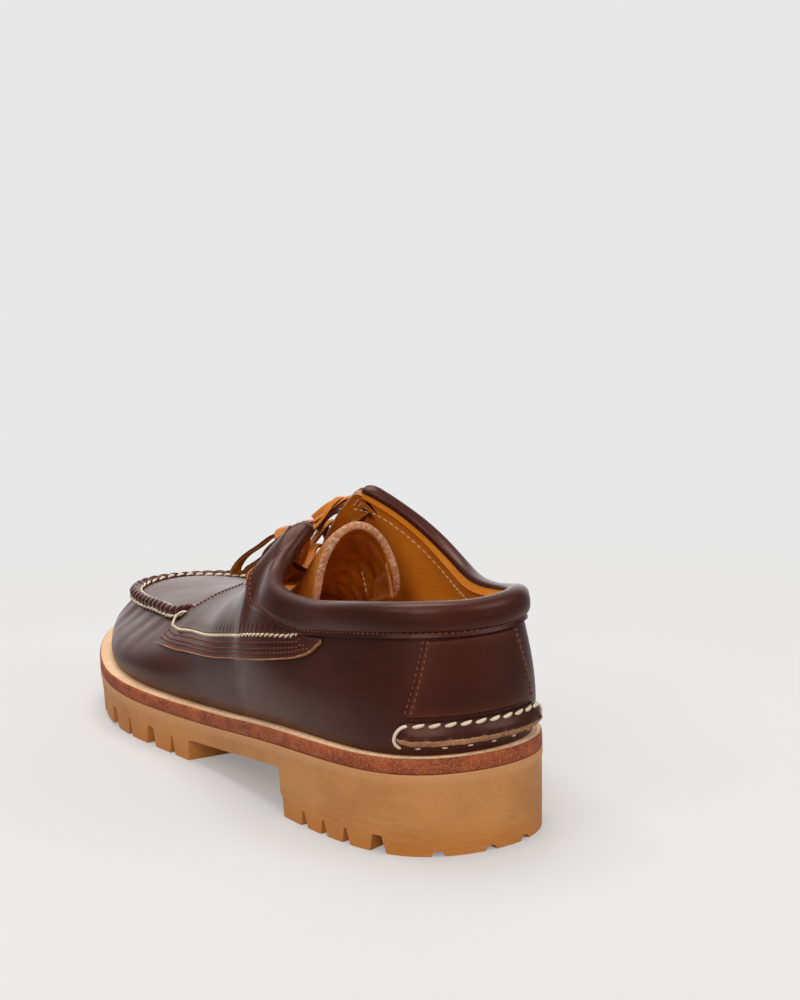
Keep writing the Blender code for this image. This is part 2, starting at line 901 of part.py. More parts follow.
def wall_patch(name, angles, shares, thickness, parts, material, upper_only=None):
    """Overlay that lies on the wall: grids of angles and shares, then Solidify.

    `upper_only` is (rows that are tall, column above which only they go on).
    """
    rows, columns = shares.shape
    flat = np.broadcast_to(np.asarray(angles, float).reshape(rows, -1), (rows, columns)).ravel()
    each = shares.reshape(-1, 1)
    points = wall(flat, each)[:, 0] + wall_normals(flat, each)[:, 0] * GAP
    faces = grid_faces(rows, columns)
    if upper_only:
        tall, above = upper_only
        kept = []
        for face in faces:
            row, column = divmod(face[0], columns)
            if column < above or (tall[row] and tall[row + 1]):
                kept.append(face)
        faces = kept
    made = make_object(name, points, faces, parts, material, turn_out=False)
    add_solidify(made, thickness, outwards=True)
    return made


def band_run(angles):
    return read_table(COLLAR_BAND, np.abs(angles))


def build_quarter(name, side, parts, material, holes, low_rows=5, high_rows=4):
    """Lacing flap: up to the collar band, and past the collar's corner to the facing."""
    corner = CORNER_ANGLE + FLAP_CLEAR
    reach = np.union1d(angles_between(QUARTER_LOW[0][0], QUARTER_LOW[-1][0]), [corner])
    reach = reach[(reach < CORNER_ANGLE - 0.1) | (reach > corner - 0.1)]
    angles = np.sort(side * reach)
    low = share_at_height(angles, read_table(QUARTER_LOW, np.abs(angles)) + GAP)
    middle = np.maximum(share_below(angles, band_run(angles) + 0.5), low + 0.01)
    first = np.linspace(0, 1, low_rows)[None, :]
    second = np.linspace(0, 1, high_rows + 1)[None, 1:]
    shares = np.concatenate(
        [
            low[:, None] * (1 - first) + middle[:, None] * first,
            middle[:, None] * (1 - second) + 0.99 * second,
        ],
        axis=1,
    )
    past = np.abs(angles) >= corner - 0.01
    made = wall_patch(name, angles, shares, QUARTER_THICK, parts, material, (past, low_rows - 1))
    add_boolean(made, holes, "eyelet_holes")
    return made


def build_side_strip(name, side, parts, material, rows=4):
    """Strip under the quarter's lower edge, round at its rear end."""
    reach = np.union1d(angles_between(STRIP_LOW[0][0], STRIP_LOW[-1][0]), [49.0, 51.5])
    angles = np.sort(side * reach)
    turned = np.abs(angles)
    low = share_at_height(angles, read_table(STRIP_LOW, turned))
    rear = share_below(angles, band_run(angles) + 0.6)
    front = share_at_height(angles, read_table(QUARTER_LOW, turned) - GAP)
    high = np.where(turned < QUARTER_LOW[0][0], np.minimum(rear, front), front)
    high = np.minimum(high, rear)
    high = np.maximum(high, low + 0.01)
    spread = np.linspace(0, 1, rows)[None, :]
    shares = low[:, None] * (1 - spread) + high[:, None] * spread
    return wall_patch(name, angles, shares, STRIP_THICK, parts, material)


def build_heel_panel(parts, material, rows=6, columns=8):
    """Back stay between the two side seams, wider at the sole."""
    bottom, top = HEEL_PANEL[0][0], HEEL_PANEL[-1][0]
    heights = np.linspace(bottom, top, rows)
    across = np.linspace(-1, 1, columns)
    angles = across[:, None] * read_table(HEEL_PANEL, heights)[None, :]
    levels = np.broadcast_to(heights[None, :], angles.shape)
    shares = share_at_height(angles.ravel(), levels.ravel()).reshape(angles.shape)
    return wall_patch("heel_panel", angles, shares, PANEL_THICK, parts, material)


def zip_faces(first, second):
    """Triangles between two rows of points that run side by side."""
    faces = []
    i = j = 0
    while i < len(first) - 1 or j < len(second) - 1:
        ahead = (i + 1) / (len(first) - 1) <= (j + 1) / (len(second) - 1)
        if i < len(first) - 1 and (ahead or j == len(second) - 1):
            faces.append([first[i], first[i + 1], second[j]])
            i += 1
        else:
            faces.append([first[i], second[j + 1], second[j]])
            j += 1
    return faces


def swept_solid(name, sections, parts, material, fold=None):
    """Closed solid through equal sections.

    A section that is folded round an edge has its ends closed between its
    first `fold` points and the others. Any other section has flat ends.
    """
    count = len(sections[0])
    points = np.concatenate(sections)
    faces = grid_faces(len(sections), count, wrap_columns=True)
    for start in (0, (len(sections) - 1) * count):
        ring = [start + k for k in range(count)]
        faces += zip_faces(ring[:fold], ring[:fold - 1:-1]) if fold else [ring]
    return make_object(name, points, faces, parts, material)


def build_heel_kicker(parts, material):
    """Lip at the foot of the heel, which stands out over the midsole."""
    angles = angles_between(-KICKER_ANGLE, KICKER_ANGLE)
    ends = np.clip((KICKER_ANGLE - np.abs(angles)) / 4.0, 0, 1)
    sections = []
    for angle, full in zip(angles, ends):
        heights = np.array([row[0] for row in KICKER_SECTION])
        lifts = np.array([row[1] for row in KICKER_SECTION])
        lifts = np.where(lifts > GAP, GAP + (lifts - GAP) * (0.45 + 0.55 * full), GAP)
        spots = np.full(len(heights), angle)
        shares = share_at_height(spots, heights)[:, None]
        sections.append(wall(spots, shares)[:, 0] + wall_normals(spots, shares)[:, 0] * lifts[:, None])
    return swept_solid("heel_kicker", sections, parts, material)


def wall_offsets(angle, runs, lifts):
    """Points at runs down the wall's face, each lifted off it."""
    runs = np.asarray(runs, float)
    spots = np.full(len(runs), angle)
    shares = share_below(spots, runs)[:, None]
    face = wall(spots, shares)[:, 0]
    return face + wall_normals(spots, shares)[:, 0] * np.reshape(lifts, (-1, 1))


def edge_frame(angle):
    """Top line's point with the outward and upward directions there."""
    spot = np.array([angle])
    edge = wall(spot, [1.0])[0, 0]
    out = wall_normals(spot, [0.985])[0, 0]
    up = edge - wall(spot, [0.97])[0, 0]
    up -= out * np.dot(up, out)
    return edge, out, up / np.linalg.norm(up)


def roll_section(angle, fullness):
    """One closed section of the padded collar."""
    edge, out, up = edge_frame(angle)
    end = float(band_run(np.array([angle]))[0])
    flat = np.linspace(BAND_BEAD[-1][0], end, BAND_STEPS + 1)[1:]
    runs = np.array([row[0] for row in BAND_BEAD] + list(flat))
    lifts = np.array([row[1] for row in BAND_BEAD] + [BAND_FLAT] * BAND_STEPS)
    outside = wall_offsets(angle, runs, GAP + (lifts - GAP) * fullness)
    back = np.concatenate([runs[:3:2], runs[-BAND_STEPS:]])
    inside = wall_offsets(angle, back, np.full(len(back), GAP))
    bead = [edge + (out * (a + 1.1) + up * b) * fullness - out * 1.1 for a, b in ROLL_BEAD]
    leg = np.array(ROLL_LEG)
    depth = np.where(leg[:, 1] > 3, 2.7 + (leg[:, 1] - 2.7) * fullness, 2.7)
    corner = np.clip((abs(angle) - 67) / 5, 0, 1)
    slack = SEAT_SLACK * corner
    rise = SEAT_RISE * corner
    legs = wall_offsets(angle, leg[:, 0], -depth - slack)
    seat = [edge + out * (a - slack * (a < 0)) + up * (b + rise) for a, b in ROLL_SEAT]
    return np.concatenate([outside[::-1], bead, legs, seat, inside])


def build_collar_roll(parts, material):
    """Padded cuff: a band down the outside, closed over the wall's edge."""
    angles = angles_between(-CORNER_ANGLE, CORNER_ANGLE)
    ends = np.abs(np.abs(angles) - CORNER_ANGLE) < 0.1
    sections = [roll_section(a, ROLL_END if end else 1.0) for a, end in zip(angles, ends)]
    outer_side = len(BAND_BEAD) + BAND_STEPS + len(ROLL_BEAD) + len(ROLL_LEG) // 2
    return swept_solid("collar_roll", sections, parts, material, fold=outer_side)


def plug_height(x, y):
    """Height of the plug's top over a plan point."""
    angles = np.linspace(180.0, THROAT_ANGLE, 300)
    left = top_line(angles)
    right = top_line(-angles)
    middle = (left[:, 1] + right[:, 1]) / 2
    at = [np.interp(y, middle, side[:, k]) for side in (left, right) for k in (0, 2)]
    left_x, left_z, right_x, right_z = at
    share = np.clip((left_x - x) / np.maximum(left_x - right_x, 0.01), 0, 1)
    crown = PLUG_CROWN * (left_x - right_x)
    return left_z * (1 - share) + right_z * share + crown * (1 - (2 * share - 1) ** 2)


def build_seam_ridge(parts, material):
    """Raised hand-sewn seam along the rim between wall and plug."""
    grid = wall_angles()
    lateral = grid[grid >= RIM_ANGLE]
    medial = grid[(grid <= -RIM_ANGLE)]
    angles = np.concatenate([lateral, medial])
    sections = []
    for angle in angles:
        spot = np.array([angle])
        edge = wall(spot, [1.0])[0, 0]
        along = (wall(spot + 0.3, [1.0]) - wall(spot - 0.3, [1.0]))[0, 0]
        out = np.array([-along[1], along[0], 0.0])
        out /= np.linalg.norm(out)
        shares = share_below(np.full(2, angle), np.array([1.0, 2.6]))
        spots = np.full(2, angle)
        face = wall(spots, shares[:, None])[:, 0]
        away = wall_normals(spots, shares[:, None])[:, 0]
        inner = edge - out * 2.8
        inner[2] = plug_height(inner[0], inner[1])
        near = edge - out * 1.2
        near[2] = plug_height(near[0], near[1])
        up = np.array([0.0, 0.0, 1.0])
        sections.append(
            np.array(
                [
                    face[1] + away[1] * GAP,
                    face[0] + away[0] * 2.2,
                    edge + up * RIDGE_HEIGHT + out * 0.6,
                    edge + up * RIDGE_HEIGHT - out * 1.0,
                    near + up * 2.0 - out * 1.3,
                    inner + up * (GAP + 0.35),
                    near + up * (GAP + 0.4),
                    edge + up * 0.45 + out * 0.35,
                ]
            )
        )
    return swept_solid("seam_ridge", sections, parts, material)


def eyelet_seats():
    """Name, centre on the quarter's outer face and axis of each eyelet."""
    seats = []
    for side, word, table in ((1, "lateral", EYELETS_LATERAL), (-1, "medial", EYELETS_MEDIAL)):
        for number, (angle, run) in enumerate(table, start=1):
            spot = np.array([side * angle])
            share = share_below(spot, run)[:, None]
            axis = wall_normals(spot, share)[0, 0]
            centre = wall(spot, share)[0, 0] + axis * (GAP + QUARTER_THICK + EYELET_LIFT)
            seats.append((f"eyelet_{word}_{number}", centre, axis))
    return seats


def place(target, centre, axis):
    target.location = (np.asarray(centre) - [side_centre(), 0, 0]) * MM
    target.rotation_euler = Vector(axis).to_track_quat("Z", "Y").to_euler()


def hole_cutter(collection):
    """All the eyelet holes in one cutter."""
    work = bmesh.new()
    for _, centre, axis in eyelet_seats():
        turn = Vector(axis).to_track_quat("Z", "Y").to_matrix().to_4x4()
        shift = Matrix.Translation((np.asarray(centre) - [side_centre(), 0, 0]) * MM)
        bmesh.ops.create_cone(
            work,
            cap_ends=True,
            segments=8,
            radius1=EYELET_HOLE * MM,
            radius2=EYELET_HOLE * MM,
            depth=16 * MM,
            matrix=shift @ turn,
        )
    mesh = bpy.data.meshes.new("cut_eyelets")
    work.to_mesh(mesh)
    work.free()
    made = bpy.data.objects.new("cut_eyelets", mesh)
    made.hide_render = True
    made.display_type = "WIRE"
    collection.objects.link(made)
    return made


def build_eyelets(parts, material):
    """Brass eyelets: one turned profile each."""
    for name, centre, axis in eyelet_seats():
        mesh = bpy.data.meshes.new(name)
        rows = [(radius * MM, 0.0, height * MM) for radius, height in EYELET_PROFILE]
        count = len(rows)
        mesh.from_pydata(rows, [(k, (k + 1) % count) for k in range(count)], [])
        mesh.materials.append(material)
        made = bpy.data.objects.new(name, mesh)
        turned = made.modifiers.new("turned", "SCREW")
        turned.steps = EYELET_STEPS
        turned.render_steps = EYELET_STEPS
        turned.use_normal_calculate = True
        turned.use_normal_flip = True
        turned.use_merge_vertices = True
        turned.merge_threshold = 0.00001
        parts.objects.link(made)
        place(made, centre, axis)


def through_eyelet(name, way):
    """Two points on an eyelet's axis, just clear of its two ends."""
    _, centre, axis = next(seat for seat in eyelet_seats() if seat[0] == name)
    pair = [centre + axis * 1.7, centre - axis * 6.4]
    return pair if way < 0 else pair[::-1]


def smooth_route(route):
    """Points about LACE_STEP apart on a smooth curve through a route."""
    points = []
    for row in route:
        points += through_eyelet(*row) if isinstance(row[0], str) else [np.array(row)]
    points = np.array(points)
    legs = np.linalg.norm(np.diff(points, axis=0), axis=1)
    reach = np.concatenate([[0], np.cumsum(legs)])
    curve = natural_spline(reach, points)
    spots = [reach[:1]]
    for start, length in zip(reach[:-1], legs):
        pieces = max(1, round(length / LACE_STEP))
        spots.append(start + length * np.arange(1, pieces + 1) / pieces)
    return curve(np.concatenate(spots))


def build_cord(name, route, parts, material):
    """Round cord along a route."""
    curve = bpy.data.curves.new(name, "CURVE")
    curve.dimensions = "3D"
    curve.bevel_depth = LACE_RADIUS * MM
    curve.bevel_resolution = 2
    curve.use_fill_caps = True
    points = (smooth_route(route) - [side_centre(), 0, 0]) * MM
    spline = curve.splines.new("POLY")
    spline.points.add(len(points) - 1)
    for target, point in zip(spline.points, points):
        target.co = (*point, 1.0)
    curve.materials.append(material)
    made = bpy.data.objects.new(name, curve)
    parts.objects.link(made)


def build_knot(parts, material):
    """Bow's knot, as a plain oval."""
    work = bmesh.new()
    bmesh.ops.create_uvsphere(work, u_segments=10, v_segments=6, radius=MM)
    bmesh.ops.scale(work, vec=KNOT_RADII, verts=work.verts)
    mesh = bpy.data.meshes.new("lace_knot")
    work.to_mesh(mesh)
    work.free()
    mesh.materials.append(material)
    made = bpy.data.objects.new("lace_knot", mesh)
    made.location = (np.array(KNOT_CENTRE) - [side_centre(), 0, 0]) * MM
    parts.objects.link(made)


def build_lace(parts, material):
    build_cord("lace_crossings", LACE_CROSSINGS, parts, material)
    build_cord("lace_loop_lateral", LACE_LOOP_LATERAL, parts, material)
    build_cord("lace_loop_medial", LACE_LOOP_MEDIAL, parts, material)
    build_cord("lace_end_lateral", LACE_END_LATERAL, parts, material)
    build_cord("lace_end_medial", LACE_END_MEDIAL, parts, material)
    build_knot(parts, material)


tongue_line = natural_spline([r[0] for r in TONGUE], [r[1:] for r in TONGUE])


def tongue_point(share, across):
    """Outer face of the tongue; `across` runs -1 medial to 1 lateral."""
    y, z, half, drop = (tongue_line(share)[:, k] for k in range(4))
    turn = np.asarray(across, float) * math.pi / 2
    return np.column_stack([half * np.sin(turn), y, z - drop * (1 - np.cos(turn))])


def tongue_sheet(rows=10, columns=11):
    """Grid of the tongue, with its free end rounded at both corners."""
    across = np.linspace(-1, 1, columns)
    half_run = 0.5 * math.pi * 25.0
    short = np.clip((np.abs(across) * half_run - (half_run - TONGUE_CORNER)) / TONGUE_CORNER, 0, 1)
    cut_back = TONGUE_CORNER * (1 - np.sqrt(np.clip(1 - short**2, 0, 1)))
    whole = 90.0
    points = []
    for share in np.linspace(0, 1, rows):
        reach = share * (1 - cut_back / whole)
        points.append(tongue_point(reach, across))
    return np.concatenate(points), grid_faces(rows, columns)


def build_tongue(parts, material):
    points, faces = tongue_sheet()
    made = make_object("tongue", points, faces, parts, material)
    turn_up(made)
    add_solidify(made, TONGUE_THICK)
    return made


def turn_up(target):
    """Turn an open sheet's normals so that they point up on average."""
    mesh = target.data
    heights = [face.normal.z * face.area for face in mesh.polygons]
    if sum(heights) < 0:
        mesh.flip_normals()


def main():
    clear_scene()
    parts = make_collection("derby_shoe")
    cutters = make_collection("cutters", hidden=True)
    rubber = make_material("gum_rubber", (0.52, 0.27, 0.10), 0.55)
    welt_leather = make_material("midsole_leather", (0.45, 0.16, 0.07), 0.7)
    lining = make_material("lining_leather", (0.50, 0.25, 0.07), 0.6)
    brown = make_material("oxblood_leather", (0.085, 0.022, 0.016), 0.35)
    build_outsole(parts, cutters, rubber)
    build_midsole(parts, welt_leather)
    build_insole(parts, lining)
    brass = make_material("brass", (0.60, 0.40, 0.16), 0.3, metallic=1.0)
    holes = hole_cutter(cutters)
    build_upper(parts, brown, holes)
    build_tongue(parts, lining)
    build_collar_roll(parts, brown)
    build_seam_ridge(parts, brown)
    for side, word in ((1, "lateral"), (-1, "medial")):
        build_quarter(f"quarter_{word}", side, parts, brown, holes)
        build_side_strip(f"side_strip_{word}", side, parts, brown)
    build_heel_panel(parts, brown)
    build_heel_kicker(parts, brown)
    build_eyelets(parts, brass)
    rawhide = make_material("lace_rawhide", (0.30, 0.11, 0.03), 0.55)
    build_lace(parts, rawhide)


if __name__ == "__main__":
    main()
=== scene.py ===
"""Looks of a low moc-toe derby shoe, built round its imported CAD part.

The shoe's own sizes are repeated from the part's source in millimetres, and
every surface here is worked out from them, so each piece lies on its solid.
The angle runs round the shoe: 0 at the heel, 180 at the toe, positive on the
outer side. The share climbs the wall of the upper from sole to top line.
"""

import logging
import math
from dataclasses import dataclass, field
from enum import Enum
from functools import cache
from typing import Callable, Iterator, Sequence

import bmesh
import bpy
import numpy as np
from mathutils import Matrix, Vector


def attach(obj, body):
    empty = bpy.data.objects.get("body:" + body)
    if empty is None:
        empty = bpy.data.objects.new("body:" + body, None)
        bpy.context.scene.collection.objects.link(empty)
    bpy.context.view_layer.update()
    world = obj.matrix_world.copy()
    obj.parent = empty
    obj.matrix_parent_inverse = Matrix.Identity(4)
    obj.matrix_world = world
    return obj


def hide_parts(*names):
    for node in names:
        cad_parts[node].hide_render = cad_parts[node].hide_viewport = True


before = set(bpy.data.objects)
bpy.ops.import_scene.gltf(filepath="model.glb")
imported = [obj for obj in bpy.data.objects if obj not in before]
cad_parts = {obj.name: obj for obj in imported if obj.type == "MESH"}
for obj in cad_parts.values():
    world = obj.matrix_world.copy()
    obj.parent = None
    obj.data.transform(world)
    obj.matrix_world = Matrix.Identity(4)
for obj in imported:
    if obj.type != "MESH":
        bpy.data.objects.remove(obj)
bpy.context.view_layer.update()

LOG = logging.getLogger("derby_shoe")
Array = np.ndarray
Mesh, Object, Material = bpy.types.Mesh, bpy.types.Object, bpy.types.Material
Node, Socket, Tree = bpy.types.Node, bpy.types.NodeSocket, bpy.types.NodeTree
Lined = tuple[Array, Array]
Spline = Callable[[Array], Array]
Colour = tuple[float, float, float, float]
Screen = tuple[int, int, int]

MM = 0.001
SIDES = ((1, "lateral"), (-1, "medial"))
UP = np.array([0.0, 0.0, 1.0])

# Sole
LENGTH = 300.0
HEEL_LENGTH = 72.4
LAST_LUG = 155.4
MIDSOLE_THICK = 5.2
SHANK_THICK = 8.0
TOE_SPRING = 9.0
FLAT_UNTIL = 0.64
SIDE_BAND = 3.0
LUG_HEIGHT = 8.0
GAP = 0.3

# Upper and the pieces on it
WALL = 2.2
SQUARE_FROM = 60.0
SQUARE_TO = 112.0
SQUARE_FADE = 12.0
THROAT_ANGLE = 95.0
RIM_ANGLE = 105.0
CORNER_ANGLE = 75.0
PLUG_CROWN = 0.075
RIDGE_HEIGHT = 3.5
TONGUE_THICK = 3.0
TONGUE_CORNER = 9.0
QUARTER_THICK = 1.6
FLAP_CLEAR = 0.3
STRIP_THICK = 1.2
EYELET_LIFT = 0.55
HOLE_RADIUS = 2.7
HOLE_REACH = (6.0, -9.0)
KNOT_CENTRE = (2.4, 12.4, 87.8)

# Rubber's top face: share of the length from the heel, height
SOLE_TOP = (
    (0.00, 28.0), (0.12, 27.3), (0.24, 25.7), (0.36, 21.3), (0.48, 17.4), (0.60, 16.0), (0.72, 16.0),
    (1.00, 16.3),
)

# Half widths of the sole, and width of the midsole outside the upper: angle, lateral, medial
SOLE_OUTLINE = (
    (0, 0.0, 0.0), (15, 19.9, 20.1), (30, 32.8, 32.8), (45, 40.0, 37.9), (60, 43.9, 38.2), (75, 44.4, 36.4),
    (90, 47.0, 40.5), (105, 53.2, 47.5), (120, 55.2, 48.6), (135, 47.9, 40.9), (150, 35.1, 28.4),
    (165, 18.4, 14.6), (180, 0.6, -0.6),
)
SOLE_MARGIN = (
    (0, 2.6, 2.6), (45, 3.2, 3.2), (75, 4.2, 4.0), (105, 4.6, 4.2), (135, 6.0, 5.2), (180, 6.6, 6.6),
)

# Top of the wall: collar edge, lacing edge, then the shoulder of the toe seam: angle, x, y, z
TOP_LINE_LATERAL = (
    (0, 0.0, 143.6, 79.4), (15, 14.4, 140.6, 79.9), (30, 25.2, 129.8, 79.3), (45, 32.2, 106.5, 76.5),
    (57, 35.6, 82.0, 74.6), (66, 35.2, 60.6, 78.6), (71, 25.2, 48.8, 85.8), (75, 12.5, 41.5, 93.8),
    (78, 9.8, 34.0, 85.5), (82, 10.0, 23.5, 77.0), (86, 11.0, 13.0, 71.6), (90, 12.5, 1.5, 68.4),
    (94, 15.8, -11.5, 64.4), (99, 21.0, -25.5, 59.2), (106, 30.0, -42.0, 50.2), (116, 32.0, -66.3, 46.8),
    (126.5, 31.0, -89.3, 45.2), (138.5, 28.4, -112.0, 44.6), (154, 19.0, -128.6, 44.4),
    (180, 0.5, -133.8, 44.2),
)
TOP_LINE_MEDIAL = (
    (0, 0.0, 143.6, 79.4), (15, 15.0, 140.8, 79.8), (30, 25.4, 130.0, 79.5), (45, 31.9, 106.7, 75.8),
    (57, 34.5, 82.0, 75.0), (66, 34.6, 61.8, 82.4), (71, 26.0, 49.0, 94.4), (75, 12.6, 39.0, 105.2),
    (78, 12.0, 30.0, 103.2), (82, 12.0, 20.5, 97.4), (86, 12.2, 10.0, 89.6), (90, 13.0, -0.5, 81.6),
    (94, 15.0, -11.5, 73.0), (99, 20.8, -25.5, 62.0), (106, 30.0, -42.0, 50.4), (116, 32.0, -66.3, 46.8),
    (126.5, 31.0, -89.3, 45.2), (138.5, 28.0, -112.0, 44.4), (154, 18.0, -128.4, 43.8),
    (180, -0.5, -133.8, 44.2),
)

# Shape of the wall, with the length of its straight runs; the outer flap arches over:
# angle, lean_low, run_low, rise_lateral, rise_medial, run_top
WALL_SHAPE = (
    (0, 4, 16, 82, 82, 16), (30, 10, 17, 80, 80, 17), (57, 18, 18, 78, 78, 17), (66, 20, 20, 62, 66, 19),
    (71, 20, 22, 34, 52, 23), (75, 20, 23, -4, 44, 22), (80, 21, 22, 0, 40, 26), (86, 22, 21, 4, 37, 25),
    (92, 23, 18, 21, 36, 22), (98, 24, 16, 35, 38, 20), (106, 22, 15, 46, 46, 15), (126.5, 16, 12, 54, 54, 11),
    (154, 14, 9, 54, 54, 8), (180, 12, 8, 56, 56, 7),
)

# Middle line and half pipe of the tongue: share, y, z, half_width, drop
TONGUE = (
    (0.00, -21.0, 62.4, 14.0, 6.0), (0.15, -9.0, 62.0, 15.5, 8.0), (0.40, 13.0, 67.5, 17.0, 13.0),
    (0.70, 35.0, 81.8, 17.6, 22.0), (0.90, 50.0, 94.4, 18.0, 29.0), (1.00, 57.0, 97.6, 18.0, 31.0),
)

# Lower edges of quarter and side strip: angle, height
QUARTER_LOW = (
    (54.0, 66.2), (56.0, 65.4), (62.5, 63.2), (69.0, 60.2), (80.0, 54.4), (90.0, 49.6), (97.0, 46.8),
    (101.0, 45.2), (104.2, 44.8),
)
STRIP_LOW = (
    (48.0, 66.0), (49.0, 63.2), (51.5, 60.2), (55.0, 57.8), (64.0, 53.8), (73.5, 49.5), (82.0, 45.4),
    (90.0, 42.4), (97.5, 39.8), (106.5, 38.6),
)

# Collar band: angle, run down the wall from its top line. Heel panel: height, half angle
COLLAR_BAND = (
    (0.0, 7.1), (30.0, 7.4), (45.0, 7.7), (57.0, 6.6), (64.0, 6.8), (67.0, 10.0), (70.0, 15.4), (72.0, 21.5),
    (75.0, 24.0),
)
HEEL_PANEL = ((46.6, 20.0), (54.5, 18.5), (61.0, 17.5), (71.6, 16.0))

# Padded collar: bead and seat as outwards, upwards; leg as run down the wall, stand-off inwards
ROLL_BEAD = ((3.4, 1.4), (2.2, 3.4), (-0.4, 4.4), (-3.2, 3.6), (-4.9, 1.2))
ROLL_LEG = ((1.8, 5.0), (4.4, 4.3), (4.6, 2.7), (1.5, 2.7))
ROLL_SEAT = ((-2.6, 0.4), (0.3, 0.4))

# Eyelets of each side: angle, run down the flap
EYELETS = {
    "lateral": ((88.5, 8.5), (83.0, 8.5), (78.0, 8.5)),
    "medial": ((88.5, 8.5), (82.5, 9.0), (77.0, 10.0)),
}

# Lace from the knot through all six eyelets and back. A row is a point
# (x, y, z), or an eyelet with the way through it: -1 inwards, 1 outwards.
LACE_CROSSINGS = (
    (-1.0, 17.4, 91.8), (-7.0, 19.0, 95.8), (-13.2, 20.0, 99.6), (-19.0, 23.3, 100.3), (-22.6, 29.6, 100.3),
    ("eyelet_medial_3", -1), (-14.3, 30.6, 92.6), (-14.0, 24.0, 90.2), ("eyelet_medial_2", 1),
    (-21.6, 17.0, 95.8), (-16.9, 16.9, 98.5), (-10.8, 18.6, 99.6), (-5.0, 19.2, 94.6), (3.0, 19.4, 87.0),
    (8.5, 19.0, 82.4), (14.0, 18.6, 80.6), (18.0, 18.2, 80.0), ("eyelet_lateral_2", -1), (17.8, 20.0, 68.8),
    (18.2, 11.0, 64.0), ("eyelet_lateral_1", 1), (19.2, 3.6, 73.2), (13.0, 4.0, 74.4), (6.0, 4.6, 75.6),
    (-3.0, 4.4, 79.4), (-10.2, 3.0, 85.4), (-15.0, 1.4, 88.0), (-20.8, 0.8, 85.8), ("eyelet_medial_1", -1),
    (-14.0, 8.0, 76.6), (-9.0, 13.6, 79.0), (0.0, 19.4, 82.8), (7.2, 27.9, 76.5), (12.6, 34.2, 77.9),
    ("eyelet_lateral_3", 1), (18.2, 27.6, 90.0), (14.0, 22.4, 91.2), (9.0, 17.6, 90.8),
)
LACE_LOOP_LATERAL = (
    (8.8, 10.0, 87.6), (11.6, 6.6, 86.2), (14.6, 2.0, 82.6), (18.0, -5.0, 78.0), (20.2, -10.0, 73.2),
    (19.2, -13.4, 69.6), (16.6, -13.0, 69.6), (16.6, -7.0, 72.0), (16.0, 0.6, 75.6), (13.4, 8.0, 80.4),
    (8.6, 12.4, 84.6),
)
LACE_LOOP_MEDIAL = (
    (-3.2, 12.8, 91.6), (-8.4, 14.0, 95.6), (-15.0, 13.4, 97.4), (-21.4, 8.6, 95.0), (-26.2, 1.4, 90.2),
    (-28.4, -6.0, 83.6), (-25.4, -9.8, 80.6), (-22.4, -5.2, 85.8), (-18.6, 2.0, 92.4), (-13.0, 7.4, 93.6),
    (-7.6, 9.4, 91.0), (-4.2, 10.8, 88.0),
)
LACE_END_LATERAL = ((5.6, 8.0, 86.4), (8.4, 3.0, 83.2), (9.6, -5.0, 77.4), (4.4, -17.2, 70.4))
LACE_END_MEDIAL = (
    (-1.4, 8.2, 90.0), (-6.4, 4.2, 89.6), (-12.0, -1.0, 87.0), (-18.0, -8.0, 80.6), (-22.6, -14.6, 72.6),
)

# Notches of the tread's edge: y, width_floor, width_top, height, depth
HEEL_NOTCHES = (
    (93.2, 5.6, 1.4, 5.6, 9.0), (105.2, 4.6, 1.2, 5.4, 9.0), (117.1, 4.8, 1.2, 5.6, 9.0),
    (131.0, 7.8, 4.4, 6.0, 9.0),
)
FOREFOOT_NOTCHES = (
    (-17.2, 4.6, 1.2, 7.4, 10.0), (-34.0, 8.4, 5.2, 7.6, 11.0), (-52.4, 4.6, 1.2, 7.4, 10.0),
    (-69.0, 8.4, 5.2, 7.6, 11.0), (-86.6, 4.6, 1.2, 7.4, 10.0), (-102.0, 8.0, 5.0, 7.6, 11.0),
    (-118.0, 4.6, 1.2, 7.2, 10.0), (-131.0, 7.0, 4.4, 7.2, 9.0),
)
# Notches of the heel's back: x, width, height, depth. Grooves: y, half_span, width, depth
HEEL_BACK_NOTCHES = ((-16.5, 5.0, 1.6, 6.0), (-1.6, 5.0, 1.6, 6.0), (17.0, 5.4, 1.6, 6.0))
TREAD_GROOVES = (
    (-25.6, 33.0, 4.0, 4.0), (-43.2, 36.0, 4.0, 4.0), (-60.8, 37.0, 4.0, 4.0), (-77.8, 36.0, 4.0, 4.0),
    (-94.3, 31.0, 4.0, 4.0), (-110.0, 25.0, 4.0, 4.0), (99.2, 26.0, 4.0, 4.0), (111.2, 25.0, 4.0, 4.0),
)


# Form of the shoe


def natural_spline(knots: Sequence[float], values: Sequence) -> Spline:
    """Cubic spline with free ends through rows of values.

    Args:
        knots: Rising positions.
        values: One row of values for each knot.

    Returns:
        A function from positions to rows of values.
    """
    x = np.asarray(knots, float)
    y = np.asarray(values, float).reshape(len(x), -1)
    n, h = len(x), np.diff(x)
    system, right = np.zeros((n, n)), np.zeros_like(y)
    system[0, 0] = system[-1, -1] = 1.0
    for i in range(1, n - 1):
        system[i, i - 1 : i + 2] = h[i - 1], 2 * (h[i - 1] + h[i]), h[i]
        right[i] = 6 * ((y[i + 1] - y[i]) / h[i] - (y[i] - y[i - 1]) / h[i - 1])
    bend = np.linalg.solve(system, right)

    def at(where: Array) -> Array:
        """Rows of values at positions."""
        q = np.atleast_1d(np.asarray(where, float))
        k = np.clip(np.searchsorted(x, q) - 1, 0, n - 2)
        a = ((x[k + 1] - q) / h[k])[:, None]
        b = 1 - a
        step = (h[k] ** 2)[:, None] / 6
        return a * y[k] + b * y[k + 1] + ((a**3 - a) * bend[k] + (b**3 - b) * bend[k + 1]) * step

    return at


def table_spline(table: Sequence) -> Spline:
    """Spline of a table whose first column is the position."""
    return natural_spline([row[0] for row in table], [row[1:] for row in table])


